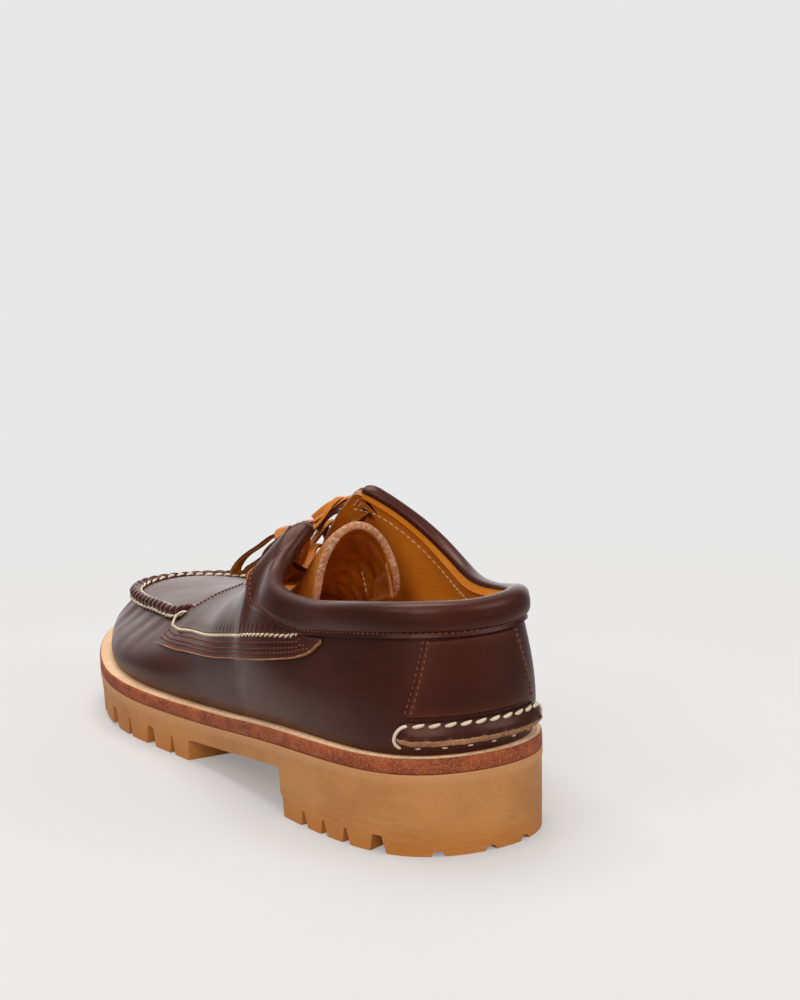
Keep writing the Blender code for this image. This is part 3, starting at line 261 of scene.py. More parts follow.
def round_spline(lateral: Sequence, medial: Sequence, mirrored: Sequence[int] = ()) -> Spline:
    """Spline in the shared angle that closes smoothly at heel and toe.

    Args:
        lateral: Rows of (angle, values) on the outer side.
        medial: The same for the inner side.
        mirrored: Columns whose sign turns on the inner side.

    Returns:
        A function from angles to rows of values.
    """
    overlap = 9
    flip = np.ones(len(lateral[0]) - 1)
    flip[list(mirrored)] = -1
    lat, med = np.array(lateral, float), np.array(medial, float)
    med = np.column_stack([-med[:, 0], med[:, 1:] * flip])[::-1]
    once = np.concatenate([med[:-1], lat])
    turn = np.eye(1, once.shape[1]) * 360
    return table_spline(np.concatenate([once[-1 - overlap : -1] - turn, once, once[1 : 1 + overlap] + turn]))


def two_sided(table: Sequence, mirrored: Sequence[int] = ()) -> Spline:
    """Round spline of a table of angle, lateral and medial value."""
    return round_spline([(a, lat) for a, lat, _ in table], [(a, med) for a, _, med in table], mirrored)


sole_half = two_sided(SOLE_OUTLINE, (0,))
sole_margin = two_sided(SOLE_MARGIN)
top_line = round_spline(TOP_LINE_LATERAL, TOP_LINE_MEDIAL, (0,))
wall_shape = round_spline([r[:4] + r[5:] for r in WALL_SHAPE], [r[:3] + r[4:] for r in WALL_SHAPE])
sole_top_at = table_spline(SOLE_TOP)
tongue_line = table_spline(TONGUE)


def ground(y: Array) -> Array:
    """Height of the tread's underside: flat, then rising to the toe by a power."""
    station = np.clip((LENGTH / 2 - np.asarray(y, float)) / LENGTH, 0, 1)
    return TOE_SPRING * np.clip((station - FLAT_UNTIL) / (1 - FLAT_UNTIL), 0, 1) ** 1.9


def rubber_top(y: Array) -> Array:
    """Height of the rubber's top face at length positions."""
    station = np.clip((LENGTH / 2 - np.asarray(y, float)) / LENGTH, 0, 1)
    return sole_top_at(station)[:, 0] + ground(np.atleast_1d(y))


def midsole_top(y: Array) -> Array:
    """Height of the midsole's top face at length positions."""
    return rubber_top(y) + GAP + MIDSOLE_THICK


def outline(angles: Array) -> Array:
    """Plan points of the sole's edge: half widths over a cosine of the angle."""
    return np.column_stack([sole_half(angles)[:, 0], LENGTH / 2 * np.cos(np.radians(angles))])


def outline_normal(angles: Array) -> Array:
    """Outward plan normals of the sole's edge."""
    small = 0.25
    ahead = outline(np.asarray(angles) + small) - outline(np.asarray(angles) - small)
    normal = np.column_stack([-ahead[:, 1], ahead[:, 0]])
    return normal / np.linalg.norm(normal, axis=1)[:, None]


def inset(angles: Array, distance: float | Array) -> Array:
    """Plan points at a distance inside the sole's edge."""
    return outline(angles) - outline_normal(angles) * np.reshape(distance, (-1, 1))


def ease(values: Array, low: float, high: float) -> Array:
    """Nought up to low, one from high on, straight between."""
    return np.clip((values - low) / (high - low), 0, 1)


def wall(angles: Array, shares: Array) -> Array:
    """Outer face of the upper's wall: one cubic curve for each angle.

    Args:
        angles: Angles round the shoe.
        shares: Shares of the climb, one list for all or a row for each angle.

    Returns:
        Points, angles by shares by 3, in millimetres.
    """
    plan = inset(angles, sole_margin(angles)[:, 0])
    low = np.column_stack([plan, midsole_top(plan[:, 1]) + GAP])
    high = top_line(angles)
    shape = wall_shape(angles)
    lean, rise = np.radians(shape[:, 0]), np.radians(shape[:, 2])
    # between two angles the wall faces straight to the side
    turned = np.clip((np.abs(angles) - SQUARE_FROM) / SQUARE_FADE, 0, 1)
    turned = turned * np.clip((SQUARE_TO - np.abs(angles)) / SQUARE_FADE, 0, 1)
    side = np.column_stack([np.sign(angles), np.zeros(len(angles))])
    away = outline_normal(angles) * (1 - turned[:, None]) + side * turned[:, None]
    away /= np.linalg.norm(away, axis=1)[:, None]
    leave = np.column_stack([away * np.sin(lean)[:, None], np.cos(lean)])
    reach = np.column_stack([-away * np.cos(rise)[:, None], np.sin(rise)])
    t = np.atleast_2d(np.asarray(shares, float))[:, :, None]
    corners = (low, low + leave * shape[:, 1:2], high - reach * shape[:, 3:4], high)
    a, b, c, d = (p[:, None, :] for p in corners)
    return a * (1 - t) ** 3 + 3 * b * t * (1 - t) ** 2 + 3 * c * t**2 * (1 - t) + d * t**3


def top_edge(angles: Array) -> Array:
    """Points of the wall's top edge."""
    return wall(angles, [1.0])[:, 0]


def wall_normals(angles: Array, shares: Array) -> Array:
    """Outward normals of the wall at the places that wall() gives."""
    angles = np.asarray(angles, float)
    shares = np.atleast_2d(np.asarray(shares, float))
    ahead = wall(angles + 0.2, shares) - wall(angles - 0.2, shares)
    climb = wall(angles, shares + 0.004) - wall(angles, shares - 0.004)
    normal = np.cross(climb, ahead)
    return normal / np.linalg.norm(normal, axis=2)[:, :, None]


def climbs(grid: Array) -> Array:
    """Running length along each row of a grid of points."""
    steps = np.linalg.norm(np.diff(grid, axis=1), axis=2)
    return np.column_stack([np.zeros(len(grid)), np.cumsum(steps, axis=1)])


def share_at_height(angles: Array, heights: float | Array) -> Array:
    """Share of the wall at which each angle reaches its height."""
    angles, heights = np.broadcast_arrays(angles, heights)
    shares = np.linspace(0, 1, 161)
    rise = np.maximum.accumulate(wall(angles.ravel(), shares)[:, :, 2], axis=1)
    found = [np.interp(h, row, shares) for h, row in zip(heights.ravel(), rise)]
    return np.reshape(found, angles.shape)


def share_below(angles: Array, runs: float | Array) -> Array:
    """Share of the wall at a run measured down its face from the top line."""
    angles, runs = np.broadcast_arrays(angles, runs)
    shares = np.linspace(1, 0, 241)
    down = climbs(wall(angles.ravel(), shares))
    found = [np.interp(r, row, shares) for r, row in zip(runs.ravel(), down)]
    return np.reshape(found, angles.shape)


def on_wall(angles: Array, shares: Array, lifts: float | Array = 0.0) -> Lined:
    """Points lifted off the wall, and the wall's normals there.

    Args:
        angles: Angles, an array of any shape.
        shares: Shares that fit that shape.
        lifts: Distances off the wall's face that fit that shape.

    Returns:
        Points and normals, of that shape by 3.
    """
    angles, shares, lifts = np.broadcast_arrays(angles, shares, lifts)
    flat, each = np.asarray(angles, float).ravel(), np.asarray(shares, float).reshape(-1, 1)
    normals = wall_normals(flat, each)[:, 0]
    points = wall(flat, each)[:, 0] + normals * lifts.reshape(-1, 1)
    return points.reshape(angles.shape + (3,)), normals.reshape(angles.shape + (3,))


def at_height(angles: Array, heights: float | Array, lifts: float | Array = 0.0) -> Lined:
    """Points and normals of on_wall at heights."""
    return on_wall(angles, share_at_height(angles, heights), lifts)


def below_edge(angles: Array, runs: float | Array, lifts: float | Array = 0.0) -> Lined:
    """Points and normals of on_wall at runs down from the top line."""
    return on_wall(angles, share_below(angles, runs), lifts)


def read_table(table: Sequence, where: Array) -> Array:
    """Second column of a two-column table at positions in its first."""
    return np.interp(where, *np.array(table, float).T)


def band_run(angles: Array) -> Array:
    """Run of the collar band down the wall, smoothed between its rows."""
    return sum(read_table(COLLAR_BAND, np.abs(np.abs(angles) + d)) for d in (-1.2, -0.6, 0.0, 0.6, 1.2)) / 5


HALF_WIDTHS = sole_half(np.arange(-180.0, 180.0, 5.0))[:, 0]
SIDE_CENTRE = float((HALF_WIDTHS.max() + HALF_WIDTHS.min()) / 2)


def in_frame(points: Array) -> Array:
    """Points in millimetres about the last, as metres in the part's frame."""
    return (np.asarray(points, float) - [SIDE_CENTRE, 0.0, 0.0]) * MM


def plug_sheet(angles: Array, columns: int) -> Array:
    """Top of the toe: rows between the two shoulders with a parabola's crown."""
    left, right = top_line(angles), top_line(-angles)
    share = np.linspace(0, 1, columns)
    rows = left[:, None] * (1 - share[:, None]) + right[:, None] * share[:, None]
    crown = PLUG_CROWN * np.linalg.norm(left - right, axis=1)
    rows[:, :, 2] += crown[:, None] * (1 - (2 * share - 1) ** 2)
    return rows


def on_plug(points: Array) -> Array:
    """Points moved up or down to the plug's top."""
    angles = np.linspace(180.0, THROAT_ANGLE, 300)
    left, right = top_line(angles), top_line(-angles)
    middle = (left[:, 1] + right[:, 1]) / 2
    at = [np.interp(points[:, 1], middle, side[:, k]) for side in (left, right) for k in (0, 2)]
    left_x, left_z, right_x, right_z = at
    share = np.clip((left_x - points[:, 0]) / np.maximum(left_x - right_x, 0.01), 0, 1)
    crown = PLUG_CROWN * (left_x - right_x)
    height = left_z * (1 - share) + right_z * share + crown * (1 - (2 * share - 1) ** 2)
    return np.column_stack([points[:, :2], height])


def eyelet_seats() -> list[tuple[str, Array, Array]]:
    """Name, centre and axis of each eyelet on the quarter's outer face."""
    seats = []
    for side, word in SIDES:
        for number, (angle, run) in enumerate(EYELETS[word], start=1):
            spot, axis = (a[0] for a in below_edge(np.array([side * angle]), run))
            centre = spot + axis * (GAP + QUARTER_THICK + EYELET_LIFT)
            seats.append((f"eyelet_{word}_{number}", centre, axis))
    return seats


def unit(vectors: Array) -> Array:
    """Vectors brought to length one."""
    return vectors / np.maximum(np.linalg.norm(vectors, axis=-1, keepdims=True), 1e-12)


def lengths_along(path: Array) -> Array:
    """Running length at each point of a path."""
    return climbs(path[None])[0]


def along(path: Array, run: Array, at: Array) -> Array:
    """Rows of a path, or of its normals, at running lengths."""
    return np.stack([np.interp(at, run, column) for column in path.T], axis=-1)


def circle(one: Array, other: Array, count: int) -> Array:
    """Circles with two directions as their half axes, by their cosine and sine."""
    turn = np.linspace(0, 2 * math.pi, count, endpoint=False)[:, None]
    return one[..., None, :] * np.cos(turn) + other[..., None, :] * np.sin(turn)


def rounding(distance: Array, radius: float) -> Array:
    """Drop of a rounded edge at distances from it: a quarter circle."""
    return radius * (1 - np.sqrt(1 - np.clip(1 - distance / radius, 0, 1) ** 2))


def waves(at: Array, rows: Sequence[tuple[float, float, float]]) -> Array:
    """Sum of sines, each with its size, rate and phase."""
    return sum(size * np.sin(at * rate + phase) for size, rate, phase in rows)


def soft_rows(rows: Array, reach: int) -> Array:
    """Rows averaged with their neighbours by a bell curve."""
    bell = np.hanning(2 * reach + 3)[1:-1]
    bell /= bell.sum()
    padded = np.pad(rows, ((reach, reach), (0, 0)), mode="edge")
    return np.stack([np.convolve(column, bell, "valid") for column in padded.T], axis=1)


def closed_curve(points: Array, count: int) -> Array:
    """Smooth closed curve through rows of points.

    Each stretch is a Catmull-Rom cubic.

    Args:
        points: Sections by corners by 3.
        count: Points on each stretch.

    Returns:
        Sections by (corners times count) by 3.
    """
    t = (np.arange(count) / count)[None, None, :, None]
    a, b, c, d = (np.roll(points, shift, axis=1)[:, :, None] for shift in (1, 0, -1, -2))
    curve = 0.5 * (2 * b + (c - a) * t + (2 * a - 5 * b + 4 * c - d) * t**2 + (3 * b - a - 3 * c + d) * t**3)
    return curve.reshape(len(points), -1, 3)


# Mesh building


def place(name: str, data: bpy.types.ID) -> Object:
    """An object at the origin for its data, in the scene."""
    made = bpy.data.objects.new(name, data)
    bpy.context.scene.collection.objects.link(made)
    return made


def grid_quads(rows: int, columns: int, start: int = 0, wrap: tuple[bool, bool] = (False, False)) -> Array:
    """Quads of a grid of points, closed round in a direction where wrap says so."""
    spans = [np.arange(size if round_ else size - 1) for size, round_ in zip((rows, columns), wrap)]
    i, j = (a.ravel() for a in np.meshgrid(*spans, indexing="ij"))
    ahead, beside = (i + 1) % rows, (j + 1) % columns
    corners = [i * columns + j, ahead * columns + j, ahead * columns + beside, i * columns + beside]
    return np.column_stack(corners) + start


def turn_outwards(mesh: Mesh, whole: bool = True) -> None:
    """Makes a mesh's faces agree, and point out of its volume if it is one whole piece."""
    work = bmesh.new()
    work.from_mesh(mesh)
    bmesh.ops.recalc_face_normals(work, faces=work.faces)
    if whole and work.calc_volume(signed=True) < 0:
        bmesh.ops.reverse_faces(work, faces=work.faces)
    work.to_mesh(mesh)
    work.free()


def smooth(mesh: Mesh, crease: float = 42.0) -> None:
    """Shades a mesh smooth except at edges sharper than the crease in degrees."""
    mesh.shade_smooth()
    mesh.set_sharp_from_angle(angle=math.radians(crease))


def dress(target: Object, slot: str, *nodes: str) -> Object:
    """Makes a piece ride on the root body and hides the nodes that it stands for."""
    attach(target, "root")
    if nodes:
        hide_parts(*nodes)
    return target


@dataclass
class Skin:
    """Points and faces of one piece while it is put together, in millimetres."""

    name: str
    points: list[Array] = field(default_factory=list)
    wear: list[Array] = field(default_factory=list)
    faces: list[list[int]] = field(default_factory=list)
    finishes: list[Array] = field(default_factory=list)
    size: int = 0

    def add_points(self, points: Array, wear: float | Array = 0.0) -> int:
        """Adds points and returns the number of the first."""
        flat = np.asarray(points, float).reshape(-1, 3)
        self.points.append(flat)
        self.wear.append(np.broadcast_to(np.asarray(wear, float).ravel(), len(flat)))
        self.size += len(flat)
        return self.size - len(flat)

    def add_faces(self, faces: Array, finish: int | Sequence[int] = 0) -> None:
        """Adds faces of known point numbers, with one finish or one for each."""
        self.faces += faces.tolist()
        self.finishes.append(np.full(len(faces), finish, np.int32))

    def add_rings(
        self,
        rings: Array,
        bare: Array = False,
        caps: int | Sequence[int] | None = 0,
        wrap: bool = False,
        wear: float | Array = 0.0,
    ) -> None:
        """Adds the skin over closed rings.

        Args:
            rings: Rings by sides by 3.
            bare: Marks of the faces, rows by sides, that take finish 1 and not 0.
            caps: Finish of the faces that close both ends, or None.
            wrap: Whether the last ring joins the first.
            wear: Wear of the points.
        """
        count, sides = rings.shape[:2]
        start = self.add_points(rings, wear)
        quads = grid_quads(count, sides, start, (wrap, True))
        marks = np.broadcast_to(bare, (len(quads) // sides, sides)).ravel()
        self.add_faces(quads[~marks])
        self.add_faces(quads[marks], 1)
        if caps is not None:
            cap = np.arange(sides) + start
            self.add_faces(np.stack([cap, cap[::-1] + (count - 1) * sides]), caps)

    def add_tubes(self, rings: Array) -> None:
        """Adds closed tubes: an array of tubes by rings by sides by 3."""
        tubes, count, sides, _ = rings.shape
        start = self.add_points(rings)
        jump = (np.arange(tubes) * count * sides)[:, None] + start
        quads = grid_quads(count, sides, 0, (False, True))
        self.add_faces((quads + jump[:, None]).reshape(-1, 4))
        cap = np.arange(sides)
        self.add_faces(np.concatenate([cap + jump, cap[::-1] + jump + (count - 1) * sides]))

    def build(self, *finishes: str, crease: float = 42.0) -> Object:
        """Makes the object, turned outwards and shaded smooth.

        Args:
            finishes: Names of the finishes in the order of their numbers.
            crease: Angle in degrees past which an edge stays sharp.

        Returns:
            The finished object at the origin.
        """
        mesh = bpy.data.meshes.new(self.name)
        mesh.from_pydata(in_frame(np.concatenate(self.points)), [], self.faces)
        for name in finishes:
            mesh.materials.append(finish(name))
        mesh.polygons.foreach_set("material_index", np.concatenate(self.finishes))
        worn = mesh.attributes.new("wear", "FLOAT", "POINT")
        worn.data.foreach_set("value", np.concatenate(self.wear).astype(np.float32))
        turn_outwards(mesh)
        smooth(mesh, crease)
        return place(self.name, mesh)


def vertex_normals(points: Array, *sets: Array) -> Array:
    """Normals at points: the area-weighted mean of the faces round each."""
    normals = np.zeros_like(points)
    for faces in sets:
        corners = points[faces]
        flat = np.cross(corners[:, 2] - corners[:, 0], corners[:, -1] - corners[:, 1])
        for column in faces.T:
            np.add.at(normals, column, flat)
    return unit(normals)


def open_edges(*sets: Array) -> Array:
    """Directed edges that only one face uses."""
    edges = np.concatenate([
        np.column_stack(pair) for faces in sets for pair in zip(faces.T, np.roll(faces, -1, axis=1).T)
    ])
    size = edges.max() + 1
    return edges[~np.isin(edges[:, 0] * size + edges[:, 1], edges[:, 1] * size + edges[:, 0])]


@dataclass
class Shell:
    """A sheet of leather closed between its face, its back and its cut edges."""

    name: str
    face: Array
    back: Array
    quads: Array
    tris: Array | None = None
    wear: float | Array = 0.0
    raw: Array = False

    def build(self, *finishes: str, holed: bool = False) -> Object:
        """Builds the sheet.

        Args:
            finishes: Names of the face's, the back's and the cut edge's
                finish; faces that raw marks take the last one.
            holed: Whether the eyelet holes are cut through it.

        Returns:
            The piece.
        """
        sets = [self.quads] if self.tris is None else [self.quads, self.tris]
        face, back = self.face.reshape(-1, 3), self.back.reshape(-1, 3)
        used = np.unique(np.concatenate([faces.ravel() for faces in sets]))
        number = np.zeros(len(face), int)
        number[used] = np.arange(len(used))
        sets = [number[faces] for faces in sets]
        skin = Skin(self.name)
        wear = np.broadcast_to(np.asarray(self.wear, float).ravel(), len(face))[used]
        front, under = skin.add_points(face[used], wear), skin.add_points(back[used])
        for faces, marks in zip(sets, (self.raw, False)):
            marks = np.broadcast_to(marks, len(faces))
            for part, finish_front, finish_under in ((faces[~marks], 0, 1), (faces[marks], 2, 2)):
                skin.add_faces(part + front, finish_front)
                skin.add_faces(part[:, ::-1] + under, finish_under)
        start, end = open_edges(*sets).T
        skin.add_faces(np.column_stack([end + front, start + front, start + under, end + under]), 2)
        made = skin.build(*finishes)
        if holed:
            loops = []
            for _, centre, axis in eyelet_seats():
                side = unit(np.cross(axis, [0.0, 1.0, 0.0]))
                ring = circle(side, np.cross(axis, side), 24) * HOLE_RADIUS
                loops.append(tuple(centre + axis * reach + ring for reach in HOLE_REACH))
            cut_away(made, loops)
            smooth(made.data)
        return made


def edge_distance(grid: Array) -> Array:
    """Distance of each grid point from the grid's four sides, along its lines."""
    across, down = climbs(grid), climbs(grid.transpose(1, 0, 2)).T
    return np.minimum.reduce([across, across[:, -1:] - across, down, down[-1:] - down])


@dataclass
class Slab:
    """A four-sided cut piece of leather with rounded edges, bare up to a run from its first side."""

    name: str
    thickness: float
    rounding: float = 0.5
    bare: float = 0.0
    worn: float = 1.4

    def build(self, face: Array, normals: Array, *finishes: str) -> Object:
        """Gives the sheet its thickness; the face sinks to its sides as a quarter circle.

        Args:
            face: Grid of the outer face, rows by columns by 3.
            normals: Its outward normals.
            finishes: Names of the finishes of face, back and edges.

        Returns:
            The piece.
        """
        distance = edge_distance(face)
        top = face - normals * rounding(distance, self.rounding)[:, :, None]
        quads = grid_quads(*face.shape[:2])
        raw = climbs(face).ravel()[quads].mean(1) < self.bare
        wear = np.exp(-distance / self.worn)
        shell = Shell(self.name, top, face - normals * self.thickness, quads, wear=wear, raw=raw)
        return shell.build(*finishes)


@dataclass(frozen=True)
class Thread:
    """Sizes of one row of stitches, in millimetres."""

    radius: float
    length: float
    gap: float
    arch: float = 0.3
    slant: float = 0.0
    sides: int = 6
    steps: int = 6
    # share of the radius that is left at the ends, which lie as deep in the leather
    tip: float = 0.35

    def rings(self, path: Array, normals: Array) -> Array:
        """Rings of every stitch on a path.

        Each stitch is a short tube that rises out of the leather as a sine
        and dips back into it, thinner at both ends.

        Args:
            path: Points of the seam.
            normals: Normals of the leather along it.

        Returns:
            Stitches by rings by sides by 3.
        """
        run = lengths_along(path)
        pitch = self.length + self.gap
        count = max(1, int((run[-1] + self.gap) // pitch))
        spare = run[-1] + self.gap - count * pitch
        u = np.linspace(0, 1, self.steps)
        at = spare / 2 + np.arange(count)[:, None] * pitch + u[None] * self.length
        up = unit(along(normals, run, at))
        side = unit(np.cross(up, unit(along(path, run, at + 0.4) - along(path, run, at - 0.4))))
        rise = self.arch * np.sin(math.pi * u) ** 0.7 - self.tip * self.radius
        spot = along(path, run, at) + up * rise[:, None] + side * ((u - 0.5) * self.slant)[:, None]
        radius = self.radius * (self.tip + (1 - self.tip) * np.sin(math.pi * np.clip(u, 0.04, 0.96)) ** 0.5)
        return spot[:, :, None] + circle(up, side, self.sides) * radius[:, None, None]


def sew(name: str, rows: Sequence, colour: str, loops: Sequence[Array] = ()) -> Object:
    """One piece with all the stitches of several rows.

    Args:
        name: Name of the piece.
        rows: (thread, path, normals) of each row.
        colour: Name of the thread's finish.
        loops: Rings of single long threads.

    Returns:
        The piece.
    """
    skin = Skin(name)
    for thread, path, normals in rows:
        skin.add_tubes(thread.rings(path, normals))
    for rings in loops:
        skin.add_tubes(rings)
    return skin.build(colour, crease=70.0)


def cut_away(target: Object, loops: Sequence[Lined]) -> None:
    """Cuts prisms, each given by its near and far loop, out of a piece."""
    points, faces = [], []
    for near, far in loops:
        start, count = len(points), len(near)
        ring = np.arange(count) + start
        ahead = np.roll(ring, -1)
        points += [*in_frame(near), *in_frame(far)]
        faces += [ring, (ring + count)[::-1], *np.column_stack([ring, ring + count, ahead + count, ahead])]
    work = bpy.data.meshes.new("cutter")
    work.from_pydata(points, [], faces)
    turn_outwards(work, whole=False)
    cutter = place("cutter", work)
    cut = target.modifiers.new("cut", "BOOLEAN")
    cut.operation, cut.solver, cut.use_self, cut.object = "DIFFERENCE", "EXACT", True, cutter
    old = target.data
    made = bpy.data.meshes.new_from_object(target.evaluated_get(bpy.context.evaluated_depsgraph_get()))
    target.modifiers.clear()
    target.data, made.name = made, old.name
    for mesh in (old, work):
        bpy.data.meshes.remove(mesh)


# Finishes


class Paint:
    """Short-hand for building one node tree."""

    def __init__(self, tree: Tree) -> None:
        """Starts on a node tree."""
        self.tree = tree

    def feed(self, node: Node, inputs: dict) -> None:
        """Links the inputs that are sockets and sets the others."""
        for key, value in inputs.items():
            if isinstance(value, Socket):
                self.tree.links.new(value, node.inputs[key])
            else:
                node.inputs[key].default_value = value

    def node(self, kind: str, inputs: dict | None = None, **settings: object) -> Node:
        """Adds a shader node with its settings and inputs."""
        made = self.tree.nodes.new("ShaderNode" + kind)
        for key, value in settings.items():
            setattr(made, key, value)
        self.feed(made, inputs or {})
        return made

    def mix(self, factor: object, first: object, second: object) -> Socket:
        """Colour between two colours."""
        return self.node("Mix", {0: factor, 6: first, 7: second}, data_type="RGBA").outputs[2]

    def math(self, kind: str, *values: object, clamp: bool = False) -> Socket:
        """Result of one sum."""
        return self.node("Math", dict(enumerate(values)), operation=kind, use_clamp=clamp).outputs[0]

    def vector(self, kind: str, *values: object) -> Node:
        """Node of one vector sum."""
        return self.node("VectorMath", dict(enumerate(values)), operation=kind)

    def ramp(self, value: Socket, low: float, high: float) -> Socket:
        """Nought below low, one above high, smooth between."""
        limits = {"Value": value, "From Min": low, "From Max": high}
        return self.node("MapRange", limits, interpolation_type="SMOOTHSTEP").outputs["Result"]

    def noise(self, vector: object, scale: float, detail: float = 3.0, rough: float = 0.55) -> Socket:
        """Value of a noise texture."""
        values = {"Vector": vector, "Scale": scale, "Detail": detail, "Roughness": rough}
        return self.node("TexNoise", values).outputs["Fac"]

    def worn(self) -> Socket:
        """The wear attribute of a piece."""
        return self.node("Attribute", attribute_name="wear").outputs["Fac"]

    def bump(self, strength: float, distance: float, height: Socket) -> Socket:
        """Normal over a height."""
        return self.node("Bump", {"Strength": strength, "Distance": distance, "Height": height}).outputs[0]


def start_group(name: str, knob: str, default: float, result: str) -> tuple[Paint, Socket, Socket, Node]:
    """An empty node group that makes one value of a vector and a number.

    Args:
        name: Name of the group.
        knob: Name of its number.
        default: The number's default.
        result: Name of its value.

    Returns:
        Its paint, its vector, its number and its output node.
    """
    group = bpy.data.node_groups.new(name, "ShaderNodeTree")
    new_socket = group.interface.new_socket
    new_socket("Vector", in_out="INPUT", socket_type="NodeSocketVector")
    new_socket(knob, in_out="INPUT", socket_type="NodeSocketFloat").default_value = default
    new_socket(result, in_out="OUTPUT", socket_type="NodeSocketFloat")
    source, sink = group.nodes.new("NodeGroupInput"), group.nodes.new("NodeGroupOutput")
    return Paint(group), source.outputs[0], source.outputs[1], sink


@cache
def grain_group() -> Tree:
    """Leather grain: cells with fine noise over them, as a height."""
    paint, vector, scale, sink = start_group("leather_grain", "Scale", 900.0, "Height")
    cells = paint.node("TexVoronoi", {"Vector": vector, "Scale": scale}, feature="F1").outputs["Distance"]
    pores = paint.math("MULTIPLY", cells, -0.8)
    paint.feed(sink, {0: paint.math("ADD", pores, paint.noise(vector, 2600.0))})
    return paint.tree


@cache
def streak_group() -> Tree:
    """Fine brushed lines round the shoe, as a mask."""
    paint, vector, tall, sink = start_group("brushed_lines", "Height scale", 26.0, "Mask")
    scale = paint.node("CombineXYZ", {0: 1.0, 1: 1.0, 2: tall}).outputs[0]
    flat = paint.vector("MULTIPLY", vector, scale).outputs[0]
    paint.feed(sink, {0: paint.ramp(paint.noise(flat, 70.0, 6.0, 0.65), 0.35, 0.7)})
    return paint.tree


@cache
def wear_group() -> Tree:
    """Edge wear from the wear attribute, broken up by noise."""
    paint, vector, amount, sink = start_group("edge_wear", "Amount", 0.5, "Mask")
    broken = paint.ramp(paint.noise(vector, 420.0, 4.0), 0.25, 0.75)
    mask = paint.math("MULTIPLY", paint.worn(), paint.math("MULTIPLY_ADD", broken, 0.7, 0.5))
    paint.feed(sink, {0: paint.math("MULTIPLY", mask, amount, clamp=True)})
    return paint.tree


def start_material(name: str) -> tuple[Material, Paint, Node, Socket]:
    """A new material, its paint, its Principled shader and the object coordinates."""
    material = bpy.data.materials.new(name)
    material.use_nodes = True
    material.node_tree.nodes.clear()
    paint = Paint(material.node_tree)
    shader = paint.node("BsdfPrincipled")
    paint.node("OutputMaterial", {"Surface": shader.outputs[0]})
    return material, paint, shader, paint.node("TexCoord").outputs["Object"]


def linear(red: int, green: int, blue: int) -> Colour:
    """Scene colour from the usual 0 to 255 screen values."""
    share = [v / 255 for v in (red, green, blue)]
    return (*(v / 12.92 if v <= 0.04045 else ((v + 0.055) / 1.055) ** 2.4 for v in share), 1.0)


@dataclass(frozen=True)
class Leather:
    """A leather finish: pull-up colour, brushed lines, grain and worn edges.

    Colours are screen values; shine and sheen are the mirror light's strength
    and colour, lengths are in metres.
    """

    name: str
    base: Screen
    light: Screen
    dark: Screen
    worn: Screen
    roughness: float = 0.36
    gloss: float = 0.35
    gloss_roughness: float = 0.3
    grain_scale: float = 700.0
    grain_depth: float = 0.00006
    cloud_scale: float = 22.0
    streaks: float = 0.35
    wear: float = 0.6
    shine: float = 0.4
    sheen: Colour = (1.0, 0.78, 0.66, 1.0)

    def make(self) -> Material:
        """Builds the material."""
        material, paint, shader, at = start_material(self.name)
        cloud = paint.ramp(paint.noise(at, self.cloud_scale, 4.0), 0.3, 0.72)
        colour = paint.mix(cloud, linear(*self.dark), linear(*self.base))
        brushed = paint.node("Group", {"Vector": at}, node_tree=streak_group()).outputs["Mask"]
        colour = paint.mix(paint.math("MULTIPLY", brushed, self.streaks), colour, linear(*self.light))
        worn = paint.node("Group", {"Vector": at, "Amount": self.wear}, node_tree=wear_group())
        grain = paint.node("Group", {"Vector": at, "Scale": self.grain_scale}, node_tree=grain_group())
        rough = paint.math("MULTIPLY_ADD", paint.noise(at, 60.0, 5.0), 0.22, self.roughness - 0.11)
        paint.feed(shader, {
            "Base Color": paint.mix(worn.outputs["Mask"], colour, linear(*self.worn)),
            "Roughness": rough,
            "Normal": paint.bump(0.6, self.grain_depth, grain.outputs["Height"]),
            "Coat Weight": self.gloss,
            "Coat Roughness": self.gloss_roughness,
            "Specular IOR Level": self.shine,
            "Specular Tint": self.sheen,
        })
        return material


@dataclass(frozen=True)
class Speckled:
    """A raw, fibrous or threadlike surface: two colours in specks, with a bump."""

    name: str
    base: Screen
    light: Screen
    dark: Screen
    roughness: float = 0.75
    speck_scale: float = 900.0
    cloud_scale: float = 60.0
    depth: float = 0.00012
    stretch: tuple[float, float, float] = (1.0, 1.0, 1.0)
    speck: float = 0.6

    def make(self) -> Material:
        """Builds the material."""
        material, paint, shader, at = start_material(self.name)
        pulled = paint.vector("MULTIPLY", at, self.stretch).outputs[0]
        cloud = paint.ramp(paint.noise(at, self.cloud_scale, 4.0), 0.3, 0.7)
        specks = paint.noise(pulled, self.speck_scale, 4.0, 0.7)
        mask = paint.math("MULTIPLY", paint.ramp(specks, 0.45, 0.7), self.speck)
        colour = paint.mix(cloud, linear(*self.dark), linear(*self.base))
        colour = paint.mix(mask, colour, linear(*self.light))
        normal = paint.bump(0.7, self.depth, specks)
        paint.feed(shader, {"Base Color": colour, "Normal": normal, "Roughness": self.roughness})
        return material


@dataclass(frozen=True)
class Brass:
    """Rolled brass with fine scratches."""

    name: str = "eyelet_brass"
    dark: Colour = (0.52, 0.33, 0.10, 1.0)
    light: Colour = (0.80, 0.58, 0.24, 1.0)

    def make(self) -> Material:
        """Builds the material."""
        material, paint, shader, at = start_material(self.name)
        scratch = paint.noise(at, 1500.0, 5.0)
        colour = paint.mix(paint.ramp(scratch, 0.3, 0.7), self.dark, self.light)
        rough = paint.math("MULTIPLY_ADD", scratch, 0.25, 0.14)
        paint.feed(shader, {"Base Color": colour, "Roughness": rough, "Metallic": 1.0})
        return material


